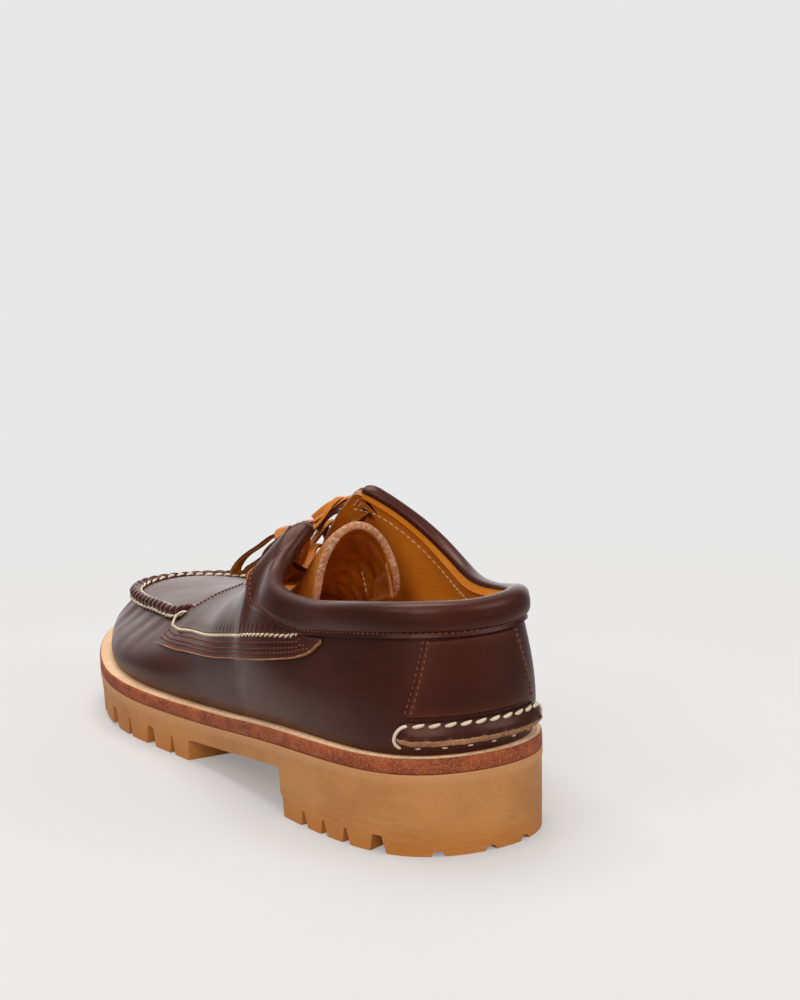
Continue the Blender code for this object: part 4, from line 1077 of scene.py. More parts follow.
@dataclass(frozen=True)
class Rubber:
    """Amber gum rubber: level sanding lines, a paler sanded band, and painted shade as deeper amber on its
    lower part.
    """

    name: str = "gum_rubber"
    base: Screen = (212, 145, 80)
    band: Screen = (218, 158, 106)
    # painted shade: deeper amber laid over the lower part of the rubber, towards the floor
    shade_amber: Screen = (206, 118, 24)
    dark: Screen = (188, 122, 60)
    grit: Screen = (238, 202, 148)

    def make(self) -> Material:
        """Builds the material; the wear attribute is 1 in the sanded band."""
        material, paint, shader, at = start_material(self.name)
        level = paint.vector("MULTIPLY", at, (0.16, 0.16, 9.0)).outputs[0]
        lines = paint.noise(level, 260.0, 6.0, 0.7)
        specks = paint.noise(at, 1300.0, 4.0, 0.75)
        # painted shade: the rubber turns to the deeper amber over its lowest 12 mm, towards the floor
        low = paint.ramp(paint.node("SeparateXYZ", {0: at}).outputs["Z"], 0.012, 0.001)
        cloud = paint.ramp(paint.noise(at, 34.0, 4.0), 0.3, 0.7)
        colour = paint.mix(cloud, linear(*self.dark), linear(*self.base))
        for mask, share, layer in (
            (low, 0.5, self.shade_amber),
            (paint.ramp(lines, 0.45, 0.72), 0.42, self.band),
            (paint.worn(), 0.7, self.band),
            (paint.ramp(specks, 0.56, 0.74), 0.5, self.grit),
        ):
            colour = paint.mix(paint.math("MULTIPLY", mask, share), colour, linear(*layer))
        both = paint.math("ADD", paint.math("MULTIPLY", lines, 0.8), paint.math("MULTIPLY", specks, 0.5))
        paint.feed(shader, {
            "Base Color": colour,
            "Roughness": paint.math("MULTIPLY_ADD", paint.noise(at, 200.0, 4.0), 0.2, 0.42),
            "Normal": paint.bump(0.6, 0.00025, both),
            "Specular IOR Level": 0.3,
            "Subsurface Weight": 0.12,
            "Subsurface Radius": (1.0, 0.5, 0.2),
            "Subsurface Scale": 0.003,
        })
        return material


# Each finish by the name that the pieces use: base, light, dark and worn colours
FINISHES = {
    "oxblood": Leather(
        "oxblood_leather", (62, 22, 15), (86, 36, 27), (40, 14, 10), (124, 62, 40), roughness=0.41, gloss=0.1,
        gloss_roughness=0.18, streaks=0.25, wear=0.45, shine=0.5, sheen=(1.0, 0.52, 0.4, 1.0),
    ),
    "lining": Leather(
        "honey_lining", (220, 140, 30), (230, 162, 64), (194, 108, 16), (214, 168, 112), roughness=0.6,
        gloss=0.0, grain_scale=420.0, grain_depth=0.00012, streaks=0.25,
    ),
    "tongue": Leather(
        "honey_tongue", (208, 120, 26), (222, 146, 56), (160, 76, 12), (216, 160, 110), roughness=0.5,
        gloss=0.12, grain_scale=240.0, grain_depth=0.0009, cloud_scale=60.0, streaks=0.2,
    ),
    "raw_edge": Speckled("raw_tan_edge", (190, 134, 92), (222, 176, 132), (146, 92, 58), roughness=0.9),
    "tongue_edge": Speckled(
        "pink_raw_edge", (188, 126, 84), (240, 204, 172), (140, 80, 44), roughness=0.95, speck=0.8
    ),
    "dark_edge": Speckled("dark_cut_edge", (92, 52, 38), (140, 92, 66), (60, 32, 26), roughness=0.8),
    "midsole_edge": Speckled(
        "russet_edge", (172, 80, 34), (230, 154, 104), (124, 48, 18), roughness=0.8, speck_scale=1300.0,
        cloud_scale=110.0, stretch=(1.0, 1.0, 1.4), speck=0.5,
    ),
    "midsole_top": Speckled(
        "natural_tan", (240, 196, 152), (250, 216, 180), (222, 168, 122), roughness=0.7, speck=0.4
    ),
    "rubber": Rubber(),
    "cream": Speckled(
        "cream_thread", (240, 221, 190), (252, 242, 222), (222, 194, 156), roughness=0.7, speck_scale=2400.0,
        depth=0.0001,
    ),
    "brown": Speckled(
        "brown_thread", (126, 62, 36), (170, 96, 58), (84, 38, 24), roughness=0.6, speck_scale=2600.0
    ),
    "lace_face": Leather(
        "rawhide_face", (206, 120, 20), (220, 142, 44), (166, 84, 10), (150, 76, 36), roughness=0.55,
        gloss=0.05, shine=0.25, grain_scale=1100.0, streaks=0.3,
    ),
    "lace_back": Leather(
        "rawhide_back", (92, 38, 16), (122, 58, 28), (60, 24, 12), (150, 84, 46), roughness=0.55, gloss=0.05,
        shine=0.3, grain_scale=1300.0, streaks=0.3,
    ),
    "insole": Leather(
        "footbed_leather", (204, 146, 76), (220, 166, 100), (184, 122, 58), (170, 110, 60), roughness=0.6,
        gloss=0.05, grain_scale=500.0,
    ),
    "brass": Brass(),
}


@cache
def finish(name: str) -> Material:
    """Material of a finish, made once."""
    return FINISHES[name].make()


# Camera and studio


@dataclass
class Studio:
    """Camera, soft lights and a pale floor that curves up all round."""

    focal: float = 1983.7
    distance: float = 785.33
    elevation: float = 9.156
    azimuth: float = 153.688
    roll: float = -2.172
    shown_at: tuple[float, float] = (304.19, 744.47)
    frame_size: tuple[float, float] = (800.0, 1000.0)
    sensor: float = 36.0
    flat_radius: float = 2.4
    bend_radius: float = 0.8
    rise: float = 1.8
    # light of the surrounding bowl beyond the toe, and all round
    far_light: float = 2.1
    near_light: float = 0.16
    # direction of the bright part seen from the shoe, and its spread
    far_way: tuple[float, float, float] = (-0.42, -0.91, 0.0)
    far_from: float = 0.6
    # share of even light in the floor next to the shoe
    lifted: float = 0.3
    # name, place, size and power of each square soft light
    lamps: tuple = (
        ("soft_top", (0.0, -0.25, 1.5), 1.1, 17.0),
        ("soft_near", (0.7, 1.25, 0.95), 1.1, 11.0),
        ("soft_side", (1.5, 0.3, 1.3), 0.8, 5.0),
        ("soft_back", (-1.1, 1.2, 0.8), 0.8, 6.0),
    )
    looked_at: tuple[float, float, float] = (0.0, 0.0, 0.05)

    def camera(self) -> None:
        """Places the camera from its angles, distance and where it sees the origin."""
        turn, lift, tilt = (math.radians(a) for a in (self.azimuth, self.elevation, self.roll))
        back = np.array([math.sin(turn) * math.cos(lift), -math.cos(turn) * math.cos(lift), math.sin(lift)])
        right = np.array([math.cos(turn), math.sin(turn), 0.0])
        up = np.cross(back, right)
        tilted = (right * math.cos(tilt) + up * math.sin(tilt), -right * math.sin(tilt) + up * math.cos(tilt))
        axes = np.array([*tilted, back])
        across, down = self.shown_at
        wide, tall = self.frame_size
        seen = [(across - wide / 2) / self.focal, -(down - tall / 2) / self.focal, -1.0]
        centre = in_frame(-axes.T @ (np.array(seen) * self.distance))
        data = bpy.data.cameras.new("camera")
        data.sensor_width = self.sensor
        data.lens = self.focal / tall * self.sensor
        data.clip_start, data.clip_end = 0.01, 50.0
        made = place("camera", data)
        made.matrix_world = Matrix([*np.column_stack([axes.T, centre]).tolist(), [0.0, 0.0, 0.0, 1.0]])
        bpy.context.scene.camera = made

    def floor(self) -> None:
        """Bowl: a flat disc whose rim turns up as a quarter circle, then a wall."""
        sides = 128
        bend = np.linspace(0, math.pi / 2, 16)
        rim = self.flat_radius + self.bend_radius * np.sin(bend)
        reach = np.concatenate([[0.02, 0.4, 1.2], rim, [self.flat_radius + self.bend_radius]])
        height = np.concatenate([[0, 0, 0], self.bend_radius * (1 - np.cos(bend)), [self.rise]])
        ring = circle(np.array([1.0, 0.0, 0.0]), np.array([0.0, 1.0, 0.0]), sides)
        points = ring * reach[:, None, None] + UP * height[:, None, None]
        faces = grid_quads(len(reach), sides, 0, (False, True))[:, ::-1].tolist()
        mesh = bpy.data.meshes.new("floor")
        mesh.from_pydata(points.reshape(-1, 3), [], faces + [list(range(sides))])
        mesh.shade_smooth()
        mesh.materials.append(self.floor_finish())
        place("floor", mesh)

    def floor_finish(self) -> Material:
        """Pale paper near the shoe that turns into even light further out."""
        material, paint, shader, at = start_material("pale_paper")
        paint.feed(shader, {"Base Color": linear(214, 211, 209), "Roughness": 0.9, "Specular IOR Level": 0.1})
        seen = paint.node("LightPath").outputs["Is Camera Ray"]
        away = paint.vector("LENGTH", at).outputs["Value"]
        level = paint.vector("MULTIPLY", at, (1.0, 1.0, 0.0)).outputs[0]
        way = paint.vector("NORMALIZE", level).outputs[0]
        facing = paint.vector("DOT_PRODUCT", way, self.far_way).outputs["Value"]
        side = paint.ramp(facing, self.far_from, 1.05)
        panel = paint.math("MULTIPLY_ADD", side, self.far_light - self.near_light, self.near_light)
        hidden = paint.math("MULTIPLY", panel, paint.math("SUBTRACT", 1.0, seen))
        light = {"Color": linear(232, 232, 232), "Strength": paint.math("ADD", hidden, seen)}
        glow = paint.node("Emission", light)
        spread = paint.math("MULTIPLY_ADD", paint.ramp(away, 0.2, 0.5), 1.0 - self.lifted, self.lifted)
        both = paint.node("MixShader", {0: spread, 1: shader.outputs[0], 2: glow.outputs[0]})
        sink = next(n for n in paint.tree.nodes if n.type == "OUTPUT_MATERIAL")
        paint.feed(sink, {"Surface": both.outputs[0]})
        return material

    def lamp(self, name: str, spot: Sequence[float], size: float, power: float) -> None:
        """Adds one square soft light that looks at the shoe."""
        data = bpy.data.lights.new(name, "AREA")
        data.size, data.energy = size, power
        made = place(name, data)
        made.location = spot
        made.rotation_euler = (Vector(spot) - Vector(self.looked_at)).to_track_quat("Z", "Y").to_euler()

    def build(self) -> None:
        """Sets up camera, floor, lights and the pale surrounding light."""
        self.camera()
        self.floor()
        for row in self.lamps:
            self.lamp(*row)
        world = bpy.data.worlds.new("studio")
        world.use_nodes = True
        sky = world.node_tree.nodes["Background"]
        sky.inputs["Color"].default_value = (1.0, 0.99, 0.98, 1.0)
        sky.inputs["Strength"].default_value = 0.3
        bpy.context.scene.world = world
        bpy.context.scene.view_settings.view_transform = "Standard"


# Lace


@dataclass
class Lace:
    """Flat rawhide lace: crossings, a bow with two loops, two ends and a knot."""

    width: float = 4.2
    thickness: float = 1.4
    # width at an eyelet and between two eyelets, and where it has changed
    neck: float = 2.9
    span: float = 3.6
    neck_until: float = 4.5
    span_from: float = 9.5
    step: float = 0.9
    sides: int = 14
    # places over and under the middle of an eyelet where the lace passes
    passes: tuple[float, float] = (1.7, -6.4)
    # slanted ellipses round the knot: direction, other direction, their half axes
    wraps: tuple = (
        ((0.2, 1, 0.1), (0.0, 0, 1), 3.3, 2.9),
        ((0.9, 0.5, 0.2), (-0.2, 0.3, 1), 3.9, 2.4),
        ((0.9, -0.5, -0.2), (0.2, 0.3, 1), 3.7, 2.2),
    )
    wrap_width: float = 3.0

    def route(self, rows: Sequence) -> Array:
        """Dense smooth path through points and eyelets."""
        seats = {name: [centre + axis * at for at in self.passes] for name, centre, axis in eyelet_seats()}
        points = []
        for row in rows:
            points += seats[row[0]][:: -row[1]] if isinstance(row[0], str) else [np.array(row)]
        run = lengths_along(np.array(points))
        return natural_spline(run, points)(np.linspace(0, run[-1], int(run[-1] / self.step) + 2))

    def upward(self, path: Array) -> Array:
        """Facing of the strap: as far up as its course lets it, turned softly."""
        ahead = unit(np.gradient(path, axis=0))
        soft = soft_rows(UP - ahead * (ahead @ UP)[:, None], 9)
        return unit(soft - ahead * (soft * ahead).sum(1)[:, None])

    def on_edge(self, path: Array) -> Array:
        """Facing of a strap bent on its flat: outwards in the plane of its loop."""
        middle = path - path.mean(0)
        across = np.linalg.svd(middle, full_matrices=False)[2][2]
        facing = unit(np.cross(unit(np.gradient(path, axis=0)), across))
        return facing if (facing * middle).sum() > 0 else -facing

    def strap(self, path: Array, facing: Array, widths: float | Array, closed: bool = False) -> Array:
        """Rings of a flat strap: a rounded oblong carried along the path.

        Args:
            path: Middle line.
            facing: Direction of the strap's face at each point.
            widths: Width of the strap, one or for each point.
            closed: Whether the path joins its own start.

        Returns:
            Rings by sides by 3.
        """
        ahead = np.roll(path, -1, 0) - np.roll(path, 1, 0) if closed else np.gradient(path, axis=0)
        side = unit(np.cross(unit(ahead), facing))
        turn = (np.arange(self.sides) + 0.5) * 2 * math.pi / self.sides
        across = np.sign(np.cos(turn)) * np.abs(np.cos(turn)) ** 0.5 / 2
        rise = np.sign(np.sin(turn)) * np.abs(np.sin(turn)) ** 0.6 / 2 * self.thickness
        wide = np.reshape(widths, (-1, 1)) * across
        return path[:, None] + side[:, None] * wide[..., None] + facing[:, None] * rise[:, None]

    def piece(self, name: str, bands: Sequence[Array], closed: bool = False) -> Object:
        """Builds straps as one object, orange on the face and dark behind.

        Args:
            name: Name of the CAD node; the piece's name has _strap at the end.
            bands: Rings of each strap.
            closed: Whether the straps are closed.

        Returns:
            The piece, which stands for the node.
        """
        skin = Skin(name + "_strap")
        behind = np.arange(self.sides) >= self.sides // 2 - 1
        for rings in bands:
            skin.add_rings(rings, behind, None if closed else 1, closed)
        made = skin.build("lace_face", "lace_back", crease=60.0)
        return dress(made, "lace_rawhide", name)

    def crossings(self) -> None:
        """The lace between the eyelets, drawn narrow where it passes one."""
        path = self.route(LACE_CROSSINGS)
        seats = np.array([centre - axis * 2.0 for _, centre, axis in eyelet_seats()])
        near = np.linalg.norm(path[:, None] - seats[None], axis=2).min(1)
        widths = self.neck + (self.span - self.neck) * ease(near, self.neck_until, self.span_from)
        self.piece("lace_crossings", [self.strap(path, self.upward(path), widths)])

    def knot(self) -> Object:
        """Three wraps round the middle: ellipses in slanted planes."""
        centre, bands = np.array(KNOT_CENTRE), []
        for first, second, wide, tall in self.wraps:
            one = unit(np.array(first, float))
            other = unit(np.array(second, float) - one * (np.array(second, float) @ one))
            path = centre + circle(one * wide, other * tall, 40)
            bands.append(self.strap(path, unit(path - centre), self.wrap_width, True))
        return self.piece("lace_knot", bands, True)

    def free(self, name: str, path: Array, facing: Array, end: str, knot: list[Object]) -> None:
        """One loop or end of the bow."""
        made = self.piece(name, [self.strap(path, facing, self.width)])
        run = lengths_along(path)
        spots = in_frame(along(path, run, np.linspace(0, run[-1], 36)))

    def build(self) -> None:
        """Builds the whole lace."""
        self.crossings()
        knot = self.knot()
        rows = (LACE_LOOP_LATERAL, LACE_LOOP_MEDIAL, LACE_END_LATERAL, LACE_END_MEDIAL)
        outer_loop, inner_loop, outer_end, inner_end = (self.route(row) for row in rows)
        self.free("lace_loop_lateral", outer_loop, -self.upward(outer_loop), "object", [])
        self.free("lace_loop_medial", inner_loop, self.on_edge(inner_loop), "object", [])
        self.free("lace_end_lateral", outer_end, self.upward(outer_end), "bare", [])
        self.free("lace_end_medial", inner_end, self.upward(inner_end), "bare", [knot])
        LOG.info("lace built")


# Sole


def angle_of(y: float, side: int) -> float:
    """Shared angle of the sole's edge at a length position."""
    return side * math.degrees(math.acos(max(-1.0, min(1.0, y / (LENGTH / 2)))))


@dataclass
class Outsole:
    """Lugged gum rubber sole with its heel block."""

    count: int = 480
    band_step: float = 0.35
    # how far the cutters start under the tread and outside the edge
    under: float = 3.0
    beyond: float = 6.0
    # share of its width that a notch keeps at its inner end
    taper: float = 0.72
    # depths between which the sanded band fades
    band_from: float = 2.0
    band_fade: float = 2.4

    def notch(self, angle: Array, base: float, row: Sequence[float]) -> Lined:
        """Near and far loops of a notch: a trapezoid narrowing inwards."""
        width_floor, width_top, height, depth = row
        normal = outline_normal(angle)[0]
        beside, out = np.array([-normal[1], normal[0], 0.0]), np.array([*normal, 0.0])
        low, high = base - self.under, base + height
        half_low, half_top = width_floor / 2 + (width_floor - width_top) / height * 1.5, width_top / 2
        shape = np.array([(-half_low, low), (half_low, low), (half_top, high), (-half_top, high)])
        start, across = np.array([*outline(angle)[0], 0.0]), beside * shape[:, :1]
        up = UP * shape[:, 1:]
        return start + out * self.beyond + across + up, start - out * depth + across * self.taper + up

    def edge_notches(self, table: Sequence) -> list[Lined]:
        """Notches of both sides from a table."""
        places = [(np.array([angle_of(y, side)]), row) for y, *row in table for side, _ in SIDES]
        return [self.notch(angle, float(ground(outline(angle)[0, 1])), row) for angle, row in places]

    def back_notches(self) -> list[Lined]:
        """Small notches across the back of the heel."""
        angles = np.linspace(-40, 40, 161)
        line = outline(angles)[:, 0]
        return [
            self.notch(angles[[np.argmin(np.abs(line - x))]], 0.0, (width, width * 0.7, height, depth))
            for x, width, height, depth in HEEL_BACK_NOTCHES
        ]

    def grooves(self) -> list[Lined]:
        """Cross grooves of the tread."""
        loops = []
        for y, half_span, width, depth in TREAD_GROOVES:
            middle = float(outline(np.array([angle_of(y, side) for side, _ in SIDES]))[:, 0].mean())
            low, high = float(ground(y)) - self.under, float(ground(y)) + depth
            wide, narrow = width / 2 + 0.5, width / 2 - 0.6
            shape = ((y - wide, low), (y + wide, low), (y + narrow, high), (y - narrow, high))
            ends = (middle - half_span, middle + half_span)
            loops.append(tuple(np.array([(x, a, z) for a, z in shape]) for x in ends))
        return loops

    def shank(self) -> list[Lined]:
        """Everything under the shank, between heel breast and last lug."""
        breast, front, floor, outside = LENGTH / 2 - HEEL_LENGTH, LENGTH / 2 - LAST_LUG, -5.0, 90.0
        span = np.linspace(front + 3.5, breast - 1.6, 33)
        roof = rubber_top(span) - SHANK_THICK
        heel = [(0.0, roof[-1] - 1.4), (0.0, LUG_HEIGHT), (1.2, LUG_HEIGHT - 0.8), (1.6, floor)]
        loop = [(front - 0.6, floor), (front + 1.2, roof[0] - 1.2), *zip(span, roof)]
        loop += [(breast + step, z) for step, z in heel]
        return [tuple(np.array([(x, y, z) for y, z in loop]) for x in (-outside, outside))]

    def body(self) -> Object:
        """Rings from the top edge down to the tread, closed above and below."""
        angles = np.linspace(-180, 180, self.count, endpoint=False)
        edge = outline(angles)
        top, base = rubber_top(edge[:, 1]), ground(edge[:, 1])
        lug_top = np.minimum(base + LUG_HEIGHT, top - SHANK_THICK + 1.0)
        levels = (
            (0.3, top),
            (0.0, top - 0.3),
            (0.0, top - SIDE_BAND + 0.8),
            (self.band_step * 0.5, top - SIDE_BAND),
            (self.band_step, top - SIDE_BAND - 0.9),
            (self.band_step + 0.25, lug_top + 0.5),
            (self.band_step + 0.35, lug_top),
            (self.band_step + 0.6, base),
        )
        skin = Skin("outsole_rubber")
        skin.add_rings(np.stack([np.column_stack([inset(angles, d), z]) for d, z in levels]))
        return skin.build("rubber")

    def build(self) -> None:
        """Builds and cuts the sole, and marks its sanded band as worn."""
        made = self.body()
        cut_away(made, self.shank())
        cut_away(made, self.edge_notches(HEEL_NOTCHES) + self.back_notches())
        cut_away(made, self.edge_notches(FOREFOOT_NOTCHES))
        cut_away(made, self.grooves())
        mesh = made.data
        spots = np.empty(len(mesh.vertices) * 3)
        mesh.vertices.foreach_get("co", spots)
        spots = spots.reshape(-1, 3) / MM
        depth = rubber_top(spots[:, 1]) - spots[:, 2]
        worn = mesh.attributes.get("wear") or mesh.attributes.new("wear", "FLOAT", "POINT")
        band = np.clip(1 - (depth - self.band_from) / self.band_fade, 0, 1)
        worn.data.foreach_set("value", band.astype(np.float32))
        smooth(mesh, 28.0)
        dress(made, "gum_rubber", "outsole")
        LOG.info("outsole: %d faces", len(mesh.polygons))


@dataclass
class Midsole:
    """Leather midsole: russet cut edge, natural top face with a row of stitches."""

    count: int = 480
    stitch: Thread = Thread(radius=0.26, length=4.4, gap=0.8, arch=0.05)
    stitch_place: float = 0.62
    # size of the cut edge's unevenness, and its waves
    wander: float = 0.12
    unevenness: tuple = ((1.0, 17, 1.0), (0.6, 41, 0.0), (0.5, 67, 2.0))
    inner_edge: float = 9.0

    def build(self) -> None:
        """Builds the slab and its stitches."""
        angles = np.linspace(-180, 180, self.count, endpoint=False)
        low = rubber_top(outline(angles)[:, 1]) + GAP
        high = low + MIDSOLE_THICK
        uneven = self.wander * waves(np.radians(angles), self.unevenness)
        levels = (
            (0.3, low),
            (0.05, low + 0.35),
            (0.0, low + 1.7),
            (0.05 + 0.1 * np.abs(uneven), high - 1.6),
            (0.1, high - 0.5),
            (0.6 + uneven * 0.5, high),
            (self.inner_edge, high),
        )
        skin = Skin("midsole_leather")
        rings = np.stack([np.column_stack([inset(angles, d), z]) for d, z in levels])
        skin.add_rings(rings, np.arange(len(levels) - 1)[:, None] == len(levels) - 2, (0, 1))
        made = skin.build("midsole_edge", "midsole_top", crease=50.0)
        dress(made, "midsole_leather", "midsole")
        row = np.linspace(-179, 179, 720)
        plan = inset(row, sole_margin(row)[:, 0] * self.stitch_place)
        path = np.column_stack([plan, midsole_top(plan[:, 1]) + 0.1])
        thread = (self.stitch, path, np.broadcast_to(UP, path.shape))
        dress(sew("midsole_stitches", [thread], "cream"), "midsole_leather")
        LOG.info("midsole built")


# Upper


@dataclass
class Upper:
    """Hollow moccasin shell: wall, toe plug, tan inside and cut edges."""

    coarse: float = 1.2
    columns: int = 40
    # soft folds below the toe seam: angle, width in degrees, depth, reach down
    folds: tuple = (
        (112.0, 1.5, 0.45, 13.0), (118.0, 1.7, 0.55, 17.0), (124.5, 1.6, 0.4, 12.0), (130.5, 2.0, 0.6, 19.0),
        (137.5, 1.8, 0.5, 16.0), (145.0, 2.4, 0.65, 19.0), (153.5, 2.6, 0.5, 15.0), (163.0, 3.2, 0.6, 17.0),
        (173.0, 3.0, 0.4, 14.0),
    )
    # usual height of the wall, the folds' lean with it and their shift on the inner side
    usual_height: float = 30.0
    fold_lean: float = 0.12
    fold_shift: float = 2.3
    # the foot of the wall rolls in slightly where it is sewn down
    tuck: float = 0.7

    def angles(self) -> Array:
        """Angles round the shoe, closer together at the lacing, same on both sides."""
        spans = ((0, 54, self.coarse), (54, 66, 0.8), (66, 106, 0.4), (106, 180, 0.8))
        half = np.concatenate([*(np.arange(*span) for span in spans), [180.0]])
        return np.concatenate([-half[1:-1][::-1], half])

    def fold_depth(self, angles: Array, shares: Array) -> Array:
        """Depth of the folds: valleys as bell curves that fade down the wall."""
        total = np.zeros(np.broadcast_shapes(angles.shape, shares.shape))
        down = (1 - shares) * self.usual_height
        for middle, wide, deep, reach in self.folds:
            for side, shift in ((1, 0.0), (-1, self.fold_shift)):
                lean = side * (middle + shift) + self.fold_lean * side * down
                across = np.exp(-(((angles - lean) / wide) ** 2))
                total = total + deep * across * np.exp(-((down / reach) ** 2))
        return total

    def build(self) -> None:
        """Builds the shell."""
        angles = self.angles()
        shares = np.concatenate([np.linspace(0, 0.9, 34), [0.93, 0.955, 0.975, 0.99, 1.0]])
        grid, normals = wall(angles, shares), wall_normals(angles, shares)
        grid = grid - normals * self.fold_depth(angles[:, None], shares[None, :])[:, :, None]
        grid = grid - normals * (self.tuck * np.exp(-((shares * 40 / 1.6) ** 2)))[None, :, None]
        rows, levels = grid.shape[:2]
        quads = grid_quads(rows, levels, 0, (True, False))
        top = np.arange(rows) * levels + levels - 1
        front = np.flatnonzero(angles >= THROAT_ANGLE - 1e-6)
        tip, front = top[front[-1]], front[:-1]
        mirror = np.array([np.argmin(np.abs(angles + angles[k])) for k in front])
        sheet = plug_sheet(angles[front], self.columns)
        inside = np.arange(len(front) * (self.columns - 2)).reshape(len(front), -1) + rows * levels
        index = np.column_stack([top[front], inside, top[mirror]])
        points = np.concatenate([grid.reshape(-1, 3), sheet[:, 1:-1].reshape(-1, 3)])
        near, far, last = index[:-1], index[1:], index[-1]
        plug = np.stack([near[:, :-1], far[:, :-1], far[:, 1:], near[:, 1:]], axis=-1).reshape(-1, 4)
        tris = np.column_stack([last[:-1], np.full(len(last) - 1, tip), last[1:]])
        wall_normal, plug_normal = vertex_normals(points, quads), vertex_normals(points, plug, tris)
        if np.median(wall_normal[: rows * levels, 2]) < 0:
            quads, wall_normal = quads[:, ::-1], -wall_normal
        if plug_normal[inside.ravel(), 2].mean() < 0:
            plug, tris, plug_normal = plug[:, ::-1], tris[:, ::-1], -plug_normal
        back = points - unit(wall_normal + plug_normal) * WALL
        shell = Shell("upper_shell", points, back, np.concatenate([quads, plug]), tris)
        made = shell.build("oxblood", "lining", "raw_edge", holed=True)
        dress(made, "oxblood_leather", "upper")
        LOG.info("upper: %d faces", len(made.data.polygons))


@dataclass
class Quarter:
    """Lacing flap over the wall: up to the collar band and on to the facing."""

    side: int
    word: str
    pucker: float = 0.16
    pitch: float = 3.6
    # run from the lower edge to the puckered seam, its spread and the flat margin
    seam: float = 2.2
    seam_spread: float = 1.5
    margin: float = 1.2
    # angle of the lacing edge's far end, radius of the flap's edges
    front: float = 104.2
    rounded: float = 0.6

    def build(self) -> None:
        """Builds the flap."""
        corner = CORNER_ANGLE + FLAP_CLEAR
        spans = (np.linspace(QUARTER_LOW[0][0], corner, 90), np.linspace(corner, self.front, 130))
        angles = np.sort(self.side * np.unique(np.concatenate(spans)))
        turned = np.abs(angles)
        low = share_at_height(angles, read_table(QUARTER_LOW, turned) + GAP)
        middle = np.maximum(share_below(angles, band_run(angles) + 0.5), low + 0.01)[:, None]
        first = np.concatenate([[0, 0.008, 0.02, 0.04, 0.07], np.linspace(0.1, 1, 22)])[None]
        second = np.concatenate([np.linspace(0, 1, 22)[1:-1], [0.975, 0.99, 1.0]])[None]
        shares = (low[:, None] * (1 - first) + middle * first, middle * (1 - second) + 0.99 * second)
        grid, normals = on_wall(angles[:, None], np.concatenate(shares, axis=1), GAP)
        climb, run = climbs(grid), lengths_along(grid[:, 0])[:, None]
        fade = np.exp(-(((climb - self.seam) / self.seam_spread) ** 2)) * np.clip(climb / self.margin, 0, 1)
        phase = 2 * math.pi * run / self.pitch + 1.2 * np.sin(run / 7)
        dip = self.pucker * fade * (0.5 + 0.5 * np.cos(phase))
        edge, past = np.minimum(climb, 8.0), turned >= corner - 0.01
        near = np.where(past[:, None], np.minimum(edge, climb[:, -1:] - climb), edge)
        face = grid + normals * (QUARTER_THICK - dip - rounding(near, self.rounded))[:, :, None]
        quads = grid_quads(*climb.shape)
        row, column = np.divmod(quads[:, 0], climb.shape[1])
        quads = quads[(column < first.shape[1] - 1) | (past[row] & past[row + 1])]
        name, wear = f"quarter_{self.word}", 0.8 * np.exp(-near / 1.2)
        shell = Shell(name + "_flap", face, grid, quads, wear=wear)
        made = shell.build("oxblood", "lining", "dark_edge", holed=True)
        dress(made, "oxblood_leather", name)
        LOG.info("quarter %s built", self.word)


@dataclass
class SideStrip:
    """Strip under the quarter's lower edge, with a raw tan edge."""

    side: int
    word: str
    columns: int = 16
    bare: float = 0.55
    # angle of the strip's rear end and where its steps get wider
    rear: float = 48.0
    wide_from: float = 54.0

    def build(self) -> None:
        """Builds the strip."""
        close = self.rear + (self.wide_from - self.rear) * np.linspace(0, 1, 24) ** 1.6
        reach = np.unique(np.concatenate([close, np.linspace(self.wide_from, STRIP_LOW[-1][0], 110)]))
        angles = np.sort(self.side * reach)
        turned = np.abs(angles)
        # heights of the raw edge, eased between the rows of its table
        eased = sum(read_table(STRIP_LOW, turned + d) for d in (-0.9, -0.3, 0.3, 0.9)) / 4
        low = share_at_height(angles, eased)
        rear = share_below(angles, band_run(angles) + 0.6)
        front = share_at_height(angles, read_table(QUARTER_LOW, turned) + 0.6)
        high = np.where(turned < QUARTER_LOW[0][0], np.minimum(rear, front), front)
        high = np.maximum(np.minimum(high, rear), low + 0.01)
        inner = np.linspace(0.12, 0.9, self.columns)
        spread = np.concatenate([[0, 0.02, 0.04, 0.06, 0.08], inner, [0.96, 1.0]])[None]
        shares = low[:, None] * (1 - spread) + high[:, None] * spread
        face, normals = on_wall(angles[:, None], shares, GAP + STRIP_THICK)
        slab = Slab(f"side_strip_{self.word}_band", STRIP_THICK - 0.05, 0.3, bare=self.bare)
        made = slab.build(face, normals, "oxblood", "raw_edge", "raw_edge")
        dress(made, "oxblood_leather", f"side_strip_{self.word}")


@dataclass
class HeelPanel:
    """Back stay between the two heel seams."""

    proud: float = 0.7
    rows: int = 60
    columns: int = 60

    def build(self) -> None:
        """Builds the panel."""
        heights = np.linspace(HEEL_PANEL[0][0], HEEL_PANEL[-1][0], self.rows)
        across = np.sin(np.linspace(-1, 1, self.columns) * math.pi / 2)
        angles = across[:, None] * read_table(HEEL_PANEL, heights)[None]
        face, normals = at_height(angles, heights, self.proud)
        slab = Slab("heel_panel_stay", self.proud - 0.05, 0.5)
        made = slab.build(face, normals, "oxblood", "dark_edge", "dark_edge")
        dress(made, "oxblood_leather", "heel_panel")


